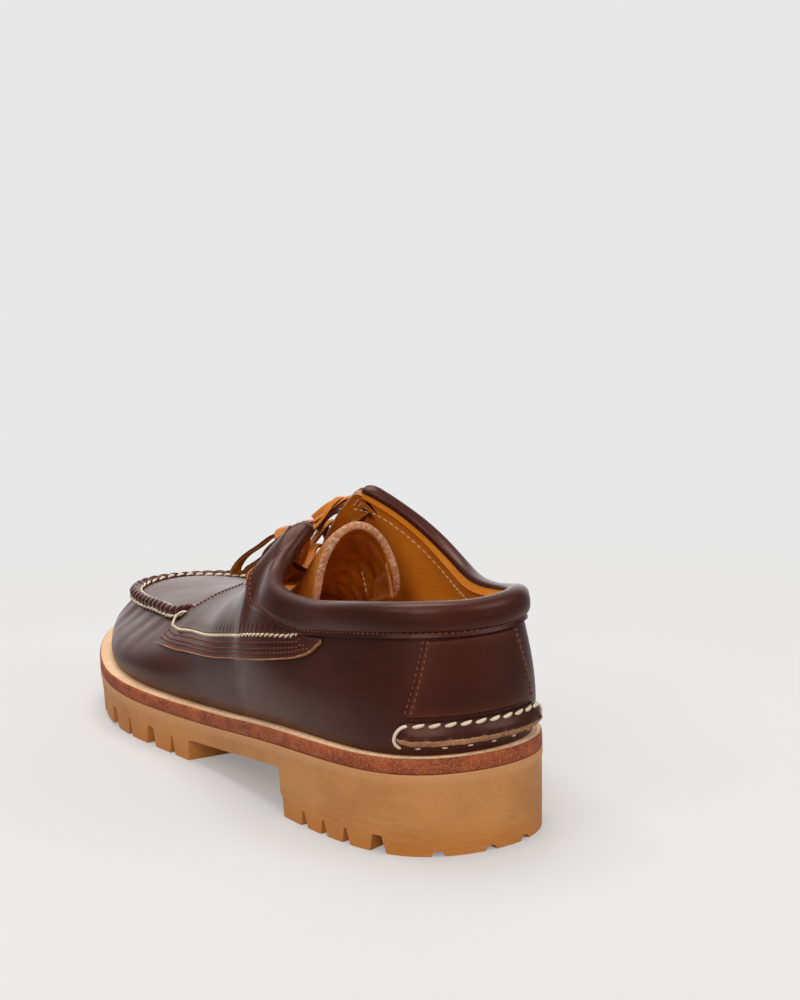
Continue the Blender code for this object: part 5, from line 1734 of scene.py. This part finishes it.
@dataclass
class HeelKicker:
    """Lip at the foot of the heel: rolled leather over a ragged tan edge."""

    reach: float = 22.4
    # height, stand-off from the wall, ragged share
    section: tuple = (
        (37.6, 0.3, 0.0), (37.5, 1.2, 1.0), (37.9, 2.3, 1.0), (38.8, 3.1, 1.0), (39.6, 3.4, 0.7),
        (40.4, 3.3, 0.2), (41.6, 3.0, 0.0), (42.9, 2.4, 0.0), (44.0, 1.7, 0.0), (44.7, 1.2, 0.0),
        (44.9, 0.8, 0.0), (44.4, 0.3, 0.0),
    )
    # waves of the ragged edge; place, spread and size of the tuft at both ends
    unevenness: tuple = ((0.34, 0.9, 0.5), (0.26, 2.3, 0.0), (0.2, 5.1, 2.0))
    tuft: tuple[float, float, float] = (20.0, 1.4, 1.2)
    # length in degrees over which the lip thins out to its ends
    thinned: float = 3.0
    # the raw edge ends at this corner of the closed section
    bare_until: int = 17

    def build(self) -> None:
        """Builds the lip as a section carried round the heel."""
        angles = np.linspace(-self.reach, self.reach, 150)
        heights, lifts, ragged = (np.array(column) for column in zip(*self.section))
        full = np.sqrt(np.clip((self.reach - np.abs(angles)) / self.thinned, 0, 1))[:, None]
        spot, width, size = self.tuft
        bump = size * np.exp(-(((np.abs(angles) - spot) / width) ** 2))
        wave = (waves(angles, self.unevenness) + bump)[:, None]
        spread = GAP + np.maximum(lifts - GAP, 0)[None] * (0.35 + 0.65 * full) + ragged[None] * wave * 0.5
        spread = np.where(lifts[None] > GAP, np.maximum(spread, GAP + 0.1), GAP)
        middle = heights.mean()
        levels = middle + (heights[None] - middle) * (0.7 + 0.3 * full) + ragged[None] * wave * 0.6
        rings = closed_curve(at_height(angles[:, None], levels, spread)[0], 4)
        column = np.arange(rings.shape[1])
        skin = Skin("heel_lip")
        skin.add_rings(rings, (column < self.bare_until) | (column >= len(column) - 1), 1)
        made = skin.build("oxblood", "raw_edge", crease=60.0)
        dress(made, "oxblood_leather", "heel_kicker")


def over_flap(angles: Array) -> Array:
    """One where the collar band lies over the lacing flap, nought where on the wall."""
    share = ease(np.abs(angles), 45.5, 53.5)
    return share * share * (3 - 2 * share)


@dataclass
class CollarRoll:
    """Padded cuff: swelling outer band, rolled edge and a short leg inside."""

    sections: int = 260
    # rounded length at both ends, in degrees
    tip: float = 1.3
    swell: float = 3.5
    groove: float = 1.15
    seam_in: float = 1.3
    # extra run and lift of the band where it lies over the flap
    lap_run: float = 0.9
    lap_lift: float = 1.15
    # the lining climbs onto the roll beyond this angle on the inner side
    lined_from: float = -20.0
    lined_climb: float = 14.0
    # width of the round part where the band is wider
    tube: float = 7.4
    # place of the roll's middle inside the top edge, and of the leg inside the wall
    sunk: float = 1.1
    leg_depth: float = 2.7

    def outside(self, angles: Array) -> Lined:
        """Runs and stand-offs of the outer band.

        From its cut edge the band dips into the seam's groove and swells as
        a quarter ellipse up to the rolled edge.
        """
        lap = over_flap(angles)[:, None]
        end = band_run(angles)[:, None] + self.lap_run * lap
        share = np.array([0.0, 0.12, 0.3, 0.5, 0.7, 0.87])[None]
        ahead = unit(np.gradient(top_edge(angles), axis=0))
        tube = np.minimum(end - self.seam_in, self.tube / np.hypot(ahead[:, :1], ahead[:, 1:2]))
        swollen = tube - (tube - 0.6) * share
        swollen[:, :1] = end - self.seam_in
        runs = np.concatenate([end, end - 0.35, end - self.seam_in + 0.15, swollen], axis=1)
        groove = self.groove + self.lap_lift * lap
        bulge = groove + (self.swell - groove) * np.sqrt(1 - (1 - share) ** 2.2)
        return runs, np.concatenate([groove - 0.15, groove + 0.2, groove, bulge], axis=1)

    def build(self) -> None:
        """Builds the cuff."""
        tip = CORNER_ANGLE - self.tip * np.linspace(0, 1, 12)[:-1] ** 2
        middle = np.linspace(self.tip - CORNER_ANGLE, CORNER_ANGLE - self.tip, self.sections)
        angles = np.concatenate([-tip, middle, tip[::-1]])
        turned = np.abs(angles)
        short = 1 - np.clip((CORNER_ANGLE - turned) / self.tip, 0, 1)
        full = (0.5 + 0.5 * np.sqrt(1 - short**2))[:, None]
        runs, lifts = self.outside(angles)
        outer, _ = below_edge(angles[:, None], runs, GAP + (lifts - GAP) * full)
        edge, low = top_edge(angles), wall(angles, [0.97])[:, 0]
        out = wall_normals(angles, [0.985])[:, 0]
        up = edge - low
        up = unit(up - out * (up * out).sum(1)[:, None])
        square = np.cross(out, np.gradient(edge, axis=0))
        square = unit(square * np.sign((square * up).sum(1))[:, None])
        lean = 0.8 * ease(turned, 50, 60)[:, None]
        up = unit(up * (1 - lean) + square * lean)
        slim = 1 - 0.3 * ease(turned, 56, 68)
        slim = np.where(angles < 0, 1 - 0.5 * ease(-angles, 22, 47), slim)[:, None]
        bead, leg, seat = np.array(ROLL_BEAD), np.array(ROLL_LEG), np.array(ROLL_SEAT)
        inward = np.where(bead[:, 0] < 0, bead[:, 0] * slim, bead[:, 0])[..., None]
        rise = (bead[:, 1] * (0.4 + 0.6 * slim))[..., None]
        bulge = out[:, None] * (inward + self.sunk) + up[:, None] * rise
        beads = edge[:, None] + bulge * full[..., None] - out[:, None] * self.sunk
        deep = self.leg_depth + (leg[:, 1] - self.leg_depth) * full * slim**1.5
        deep = np.where(leg[:, 1] > 3, deep, self.leg_depth)
        legs, _ = below_edge(angles[:, None], leg[:, 0][None] * (0.8 - 0.9 * (1 - slim)), -deep)
        seats = edge[:, None] + out[:, None] * seat[:, :1] + up[:, None] * seat[:, 1:]
        lap, end = ease(turned, 51.5, 54.0), band_run(angles)
        runs = np.column_stack([np.full(len(angles), 1.5), end * 0.55, end - 0.2, end + self.lap_run * lap])
        inner, _ = below_edge(angles[:, None], runs, GAP + np.array([0, 0, 0, 1.6])[None] * lap[:, None])
        rounded = closed_curve(np.concatenate([outer, beads, legs[:, :2]], axis=1), 6)
        first = (outer.shape[1] + beads.shape[1] + 1) * 6
        rings = np.concatenate([rounded[:, : first + 1], legs[:, 2:], seats, inner], axis=1)
        count = rings.shape[1]
        column = np.arange(count)
        climb = self.lined_climb * np.clip((self.lined_from - angles[:-1]) / 16, 0, 1)[:, None]
        lined = (climb > 0) & (column >= first - climb) & (column < count - inner.shape[1])
        skin = Skin("collar_cuff")
        skin.add_rings(rings, lined)
        made = skin.build("oxblood", "lining", crease=65.0)
        dress(made, "oxblood_leather", "collar_roll")
        LOG.info("collar: %d faces", len(made.data.polygons))


@dataclass
class MocSeam:
    """Hand-sewn seam round the toe: a puckered ridge between two thread rows."""

    sections: int = 620
    pitch: float = 5.4
    pucker: float = 1.15
    # length of raw cut edge that shows at both ends, and its corners
    bare: float = 30.0
    bare_corners: tuple[int, int] = (15, 19)
    # runs down the wall and distances inwards on the plug where the ridge lies
    outside: tuple[float, float] = (0.9, 2.4)
    inside: tuple[float, float] = (1.3, 2.9)
    outer_thread: Thread = Thread(radius=0.62, length=3.2, gap=1.2, arch=0.35, slant=0.9)
    inner_thread: Thread = Thread(radius=0.66, length=3.5, gap=0.9, arch=0.35, slant=0.7)

    def build(self) -> None:
        """Builds the ridge with its puckers, then both rows of thread."""
        half = np.linspace(RIM_ANGLE, 180, self.sections // 2)
        angles = np.concatenate([half, -half[::-1][1:]])
        edge = top_edge(angles)
        ahead = top_edge(angles + 0.3) - top_edge(angles - 0.3)
        out = unit(soft_rows(unit(np.column_stack([-ahead[:, 1], ahead[:, 0], np.zeros(len(edge))])), 3))
        run = lengths_along(edge)
        phase = 2 * math.pi * (run / self.pitch) + 0.6 * np.sin(run / 9.0)
        crest = np.abs(np.sin(phase / 2)) ** 0.7
        face, away = below_edge(angles[:, None], self.outside)
        near, inner = (on_plug(edge - out * distance) for distance in self.inside)
        swell = (self.pucker * (crest - 0.6))[:, None]
        corners = [
            face[:, 1] + away[:, 1] * GAP,
            face[:, 1] * 0.4 + face[:, 0] * 0.6 + away[:, 0] * (1.0 + swell),
            face[:, 0] + away[:, 0] * (1.9 + swell * 1.2) + UP * 0.9,
            edge + UP * (RIDGE_HEIGHT - 0.6) + out * (1.3 + swell),
            edge + UP * (RIDGE_HEIGHT + 0.1 + swell * 0.5) + out * 0.2,
            edge + UP * (RIDGE_HEIGHT - 0.5) - out * (0.9 + swell * 0.7),
            near + UP * 2.0 - out * (1.0 + swell * 0.8),
            near * 0.4 + inner * 0.6 + UP * (GAP + 0.9 + swell * 0.3),
            inner + UP * (GAP + 0.2),
            near + UP * (GAP + 0.2),
            edge + UP * 0.35 + out * 0.3,
        ]
        rings = closed_curve(np.stack(corners, axis=1), 3)
        fade = np.minimum(run, run[-1] - run)
        squeeze = (0.45 + 0.55 * np.sqrt(np.clip(fade / 5.0, 0, 1)))[:, None, None]
        foot = (face[:, :1] + inner[:, None] + UP * GAP * 2) / 2
        rings = foot + (rings - foot) * np.where(rings[..., 2:] > foot[..., 2:], squeeze, 1.0)
        column, (first, last) = np.arange(rings.shape[1]), self.bare_corners
        bare = (fade[:-1, None] < self.bare) & (column >= first) & (column < last)
        skin = Skin("toe_seam")
        skin.add_rings(rings, bare, 1, wear=0.25 * np.broadcast_to(crest[:, None], rings.shape[:2]))
        made = skin.build("oxblood", "raw_edge", crease=60.0)
        dress(made, "oxblood_leather", "seam_ridge")
        foot_path = face[:, 1] * 0.55 + face[:, 0] * 0.45 + away[:, 1] * 1.15
        top_path = inner * 0.75 + near * 0.25 + UP * 1.15
        rows = [
            (self.outer_thread, foot_path, unit(away[:, 1] + UP * 0.2)),
            (self.inner_thread, top_path, unit(UP - out * 0.5)),
        ]
        dress(sew("toe_seam_thread", rows, "cream"), "oxblood_leather")
        LOG.info("toe seam: %d faces", len(made.data.polygons))


@dataclass
class Tongue:
    """Half pipe of thick tan leather with a rounded free end."""

    rows: int = 90
    columns: int = 70
    ripple: float = 0.4
    rounded: float = 0.9
    bare: float = 0.7
    # usual radius and length of the half pipe
    radius: float = 25.0
    length: float = 90.0
    # reach along the tongue, share across it of the inner layer's edge
    layer: tuple = (
        (0.55, -0.93), (0.77, -0.91), (0.785, -0.84), (0.81, -0.75), (0.87, -0.76), (0.93, -0.74),
        (0.975, -0.66),
    )
    layer_thick: float = 0.9
    layer_grid: tuple[int, int] = (60, 24)

    @staticmethod
    def surface(across: Array, reach: Array) -> Array:
        """Points of the outer face: sine arcs across a curved middle line."""
        line = tongue_line(reach.ravel()).reshape(reach.shape + (4,))
        turn = across * math.pi / 2
        height = line[..., 1] - line[..., 3] * (1 - np.cos(turn))
        return np.stack([line[..., 2] * np.sin(turn), line[..., 0], height], axis=-1)

    def add_layer(self) -> None:
        """Second layer of lining on the inner side, with a few loose stitches."""
        rows, columns = self.layer_grid
        reach = np.linspace(self.layer[0][0], self.layer[-1][0], rows)
        edge = read_table(self.layer, reach)[:, None]
        across = edge + (-0.985 - edge) * np.linspace(0, 1, columns)[None]
        grid = self.surface(across, np.repeat(reach[:, None], columns, axis=1))
        normals = vertex_normals(grid.reshape(-1, 3), grid_quads(rows, columns)).reshape(grid.shape)
        normals = -normals * np.sign(normals[..., 0].sum() * -1.0)
        slab = Slab("tongue_layer", self.layer_thick, 0.5)
        made = slab.build(grid + normals * (TONGUE_THICK + 1.1), normals, *["tongue"] * 3)
        dress(made, "tongue_leather")
        across = np.linspace(-0.5, -0.8, 30)
        path = self.surface(across, np.linspace(0.725, 0.685, 30))
        beside = self.surface(across, np.linspace(0.735, 0.695, 30)) - path
        inward = unit(np.cross(np.gradient(path, axis=0), beside))
        inward = inward * np.sign((inward * (UP * 60.0 - path * [1, 0, 1])).sum(1))[:, None]
        row = (Hand.LINING.value, path + inward * (TONGUE_THICK + 0.3), inward)
        dress(sew("tongue_stitches", [row], "cream"), "tongue_leather")

    def grid(self) -> Array:
        """Outer face, with its corners cut round."""
        even = np.linspace(-1, 1, self.columns)
        across = np.sin(even * math.pi / 2) * 0.35 + even * 0.65
        half_run = 0.5 * math.pi * self.radius
        short = np.clip((np.abs(across) * half_run - (half_run - TONGUE_CORNER)) / TONGUE_CORNER, 0, 1)
        cut_back = TONGUE_CORNER * (1 - np.sqrt(np.clip(1 - short**2, 0, 1)))
        spread = 1 - (1 - np.linspace(0, 1, self.rows)) ** 1.4
        reach = spread[:, None] * (1 - cut_back[None] / self.length)
        return self.surface(np.broadcast_to(across[None], reach.shape), reach)

    def build(self) -> None:
        """Builds the tongue and its inner layer."""
        grid = self.grid()
        quads = grid_quads(*grid.shape[:2])
        normals = vertex_normals(grid.reshape(-1, 3), quads).reshape(grid.shape)
        if normals[..., 2].sum() < 0:
            normals, quads = -normals, quads[:, ::-1]
        distance = edge_distance(grid)
        drop = rounding(distance, self.rounded)
        x, y = grid[..., 0], grid[..., 1]
        wave = self.ripple * np.sin(y * 0.85 + 1.6 * np.sin(x * 0.3)) * np.sin(x * 0.45 + y * 0.2)
        back = grid - normals * (TONGUE_THICK - drop + wave * np.clip(distance / 4, 0, 1))[..., None]
        raw = distance.ravel()[quads].mean(1) < self.bare
        wear = np.exp(-distance / 1.3)
        shell = Shell("tongue_flap", grid - normals * drop[..., None], back, quads, wear=wear, raw=raw)
        made = shell.build("tongue", "tongue", "tongue_edge")
        dress(made, "tongue_leather", "tongue")
        self.add_layer()
        LOG.info("tongue built")


@dataclass
class Eyelets:
    """Six rolled brass eyelets: one closed profile turned round each axis."""

    sides: int = 36
    # radius, height over the quarter
    profile: tuple = (
        (1.95, -4.9), (1.95, -2.0), (1.95, 0.1), (2.06, 0.45), (2.35, 0.7), (2.8, 0.78), (3.3, 0.62),
        (3.62, 0.3), (3.7, 0.0), (3.3, 0.0), (2.4, 0.0), (2.4, -2.0), (2.4, -4.62), (3.1, -4.62),
        (3.3, -4.75), (3.2, -4.95), (2.8, -5.12), (2.3, -5.1),
    )

    def build(self) -> None:
        """Builds the eyelets."""
        radius, height = np.array(self.profile).T[..., None]
        for name, centre, axis in eyelet_seats():
            side = unit(np.cross(axis, [0.0, 1.0, 0.0]))
            ring = circle(side, np.cross(axis, side), self.sides)
            skin = Skin(name + "_rolled")
            skin.add_rings(centre + ring[:, None] * radius + axis * height, caps=None, wrap=True)
            dress(skin.build("brass", crease=50.0), "brass", name)
        LOG.info("eyelets built")


# Stitching


class Hand(Enum):
    """How a seam is sewn."""

    THICK = Thread(radius=0.46, length=2.5, gap=0.5, arch=0.34, slant=1.0)
    SADDLE = Thread(radius=0.7, length=3.9, gap=1.4, arch=0.4, slant=0.8, steps=9)
    SMALL = Thread(radius=0.4, length=1.8, gap=7.0, arch=0.15)
    MACHINE = Thread(radius=0.36, length=1.3, gap=0.85, arch=0.24, slant=0.25, steps=5)
    LINING = Thread(radius=0.3, length=2.0, gap=0.7, arch=0.15, steps=5)


@dataclass
class Stitching:
    """All the rows of thread that lie on the wall of the upper."""

    # angle, height of the quarter's lower cream row
    quarter_row: tuple = (
        (52.5, 67.9), (54.0, 66.9), (56.0, 65.3), (58.5, 64.3), (62.5, 63.1), (69.0, 60.2), (80.5, 54.3),
        (90.0, 49.4), (97.0, 46.6), (101.0, 45.1), (105.2, 44.6),
    )
    # angle, run of the rows on the lining
    lining_tables: tuple = (
        (
            (50.0, 8.0), (56.0, 8.0), (62.0, 9.5), (68.0, 12.5), (72.0, 14.0), (75.0, 11.5), (78.0, 8.0),
            (80.0, 3.5),
        ),
        ((76.4, 3.0), (78.0, 3.0), (79.6, 2.8)),
        ((76.4, 5.2), (77.6, 5.0), (78.6, 4.9)),
    )
    # place between the strip's edges and first angle of its three rows
    strip_rows: tuple = ((0.27, 50.4), (0.46, 51.6), (0.7, 53.4))
    # thread loops round heel lip and strip: radius, then angle, height and lift of each place
    loops: tuple = (
        (0.58, (
            (19.6, 44.3, 1.6), (21.2, 43.6, 2.0), (22.6, 41.3, 2.2), (22.8, 38.4, 1.8), (21.5, 36.4, 0.8),
        )),
        (0.5, (
            (105.0, 44.4, 2.0), (106.0, 45.6, 2.3), (106.2, 47.0, 2.6), (105.4, 48.6, 2.8), (104.2, 49.6, 2.2),
        )),
    )
    heel_row: float = 44.3
    lip_row: float = 36.4

    def collar_row(self) -> Lined:
        """Brown row in the groove of the collar band."""
        angles = np.linspace(-CORNER_ANGLE + 0.2, CORNER_ANGLE - 0.2, 1200)
        lap = over_flap(angles)
        runs = band_run(angles) - 1.25 + CollarRoll.lap_run * lap
        return below_edge(angles, runs, 1.2 + CollarRoll.lap_lift * lap)

    def brown_rows(self, side: int) -> Iterator[Lined]:
        """Rows along the strip, up its front end and along the flap's lacing edge."""
        lift = GAP + STRIP_THICK
        for share, start in self.strip_rows:
            angles = np.linspace(start, 105.0, 240)
            low = read_table(STRIP_LOW, angles)
            high = np.where(angles < 54, 67.5, read_table(QUARTER_LOW, angles))
            yield at_height(side * angles, low + (high - low) * share, lift)
        yield at_height(np.full(12, side * 105.4), np.linspace(39.6, 44.0, 12), lift)
        yield below_edge(side * np.linspace(CORNER_ANGLE + 0.9, 103.6, 300), 2.2, GAP + QUARTER_THICK)

    def heel_seams(self) -> list[Lined]:
        """Two brown rows down each side of the back stay."""
        heights = np.linspace(47.5, 71.8, 80)
        half = read_table(HEEL_PANEL, heights)
        spots = ((-0.9, HeelPanel.proud), (0.75, 0.05))
        return [at_height(side * (half + step), heights, lift) for side, _ in SIDES for step, lift in spots]

    def quarter_line(self, side: int) -> Lined:
        """Cream row on the quarter's lower edge."""
        angles = np.linspace(self.quarter_row[0][0], self.quarter_row[-1][0], 260)
        lift = 1.75 - 0.5 * ease(-angles, -54.0, -52.5)
        return at_height(side * angles, table_spline(self.quarter_row)(angles)[:, 0], lift)

    def lining_rows(self, side: int) -> list[Lined]:
        """Cream rows on the lining: under the collar and along the facing."""
        rows = []
        for table in self.lining_tables:
            angles = np.linspace(table[0][0], table[-1][0], 160)
            path, normals = below_edge(side * angles, table_spline(table)(angles)[:, 0], -WALL - 0.03)
            rows.append((path, -normals))
        return rows

    def loop(self, places: Sequence, side: int, radius: float) -> Array:
        """Round thread through (angle, height, lift) places, thinner at both ends."""
        curve = natural_spline(np.arange(len(places)), places)(np.linspace(0, len(places) - 1, 40))
        path, _ = at_height(side * curve[:, 0], curve[:, 1], curve[:, 2])
        ahead = unit(np.gradient(path, axis=0))
        beside = unit(np.cross(ahead, [0.05, 0.1, 1.0]))
        ends = np.minimum(np.arange(len(path)), np.arange(len(path))[::-1])
        thick = radius * np.clip(0.45 + ends / 4, 0, 1)
        return (path[:, None] + circle(beside, np.cross(beside, ahead), 8) * thick[:, None, None])[None]

    def build(self) -> None:
        """Sews every row."""
        heel, lip = np.linspace(-21.6, 19.2, 160), np.linspace(-19.5, 19.5, 120)
        cream = [
            (Hand.SADDLE.value, *at_height(heel, self.heel_row, HeelPanel.proud + 0.95)),
            (Hand.SMALL.value, *at_height(lip, self.lip_row, 0.25)),
        ]
        brown = [self.collar_row(), *self.heel_seams()]
        for side, _ in SIDES:
            cream.append((Hand.THICK.value, *self.quarter_line(side)))
            cream += [(Hand.LINING.value, *row) for row in self.lining_rows(side)]
            brown += self.brown_rows(side)
        brown = [(Hand.MACHINE.value, *row) for row in brown]
        dress(sew("brown_stitches", brown, "brown"), "oxblood_leather")
        loops = [self.loop(places, side, radius) for side, _ in SIDES for radius, places in self.loops]
        dress(sew("cream_stitches", cream, "cream", loops), "oxblood_leather")
        LOG.info("stitches sewn")


def main() -> None:
    """Builds the shoe's looks in order."""
    logging.basicConfig(level=logging.INFO, format="%(name)s: %(message)s")
    flaps = [part(*side) for side in SIDES for part in (Quarter, SideStrip)]
    over = (HeelPanel(), HeelKicker(), CollarRoll(), MocSeam(), Tongue(), Eyelets(), Stitching())
    for part in (Studio(), Lace(), Outsole(), Midsole(), Upper(), *flaps, *over):
        part.build()
    # the carried-over insole gets its leather
    leather = bpy.data.objects["insole"].data.materials
    leather.clear()
    leather.append(finish("insole"))


if __name__ == "__main__":
    main()
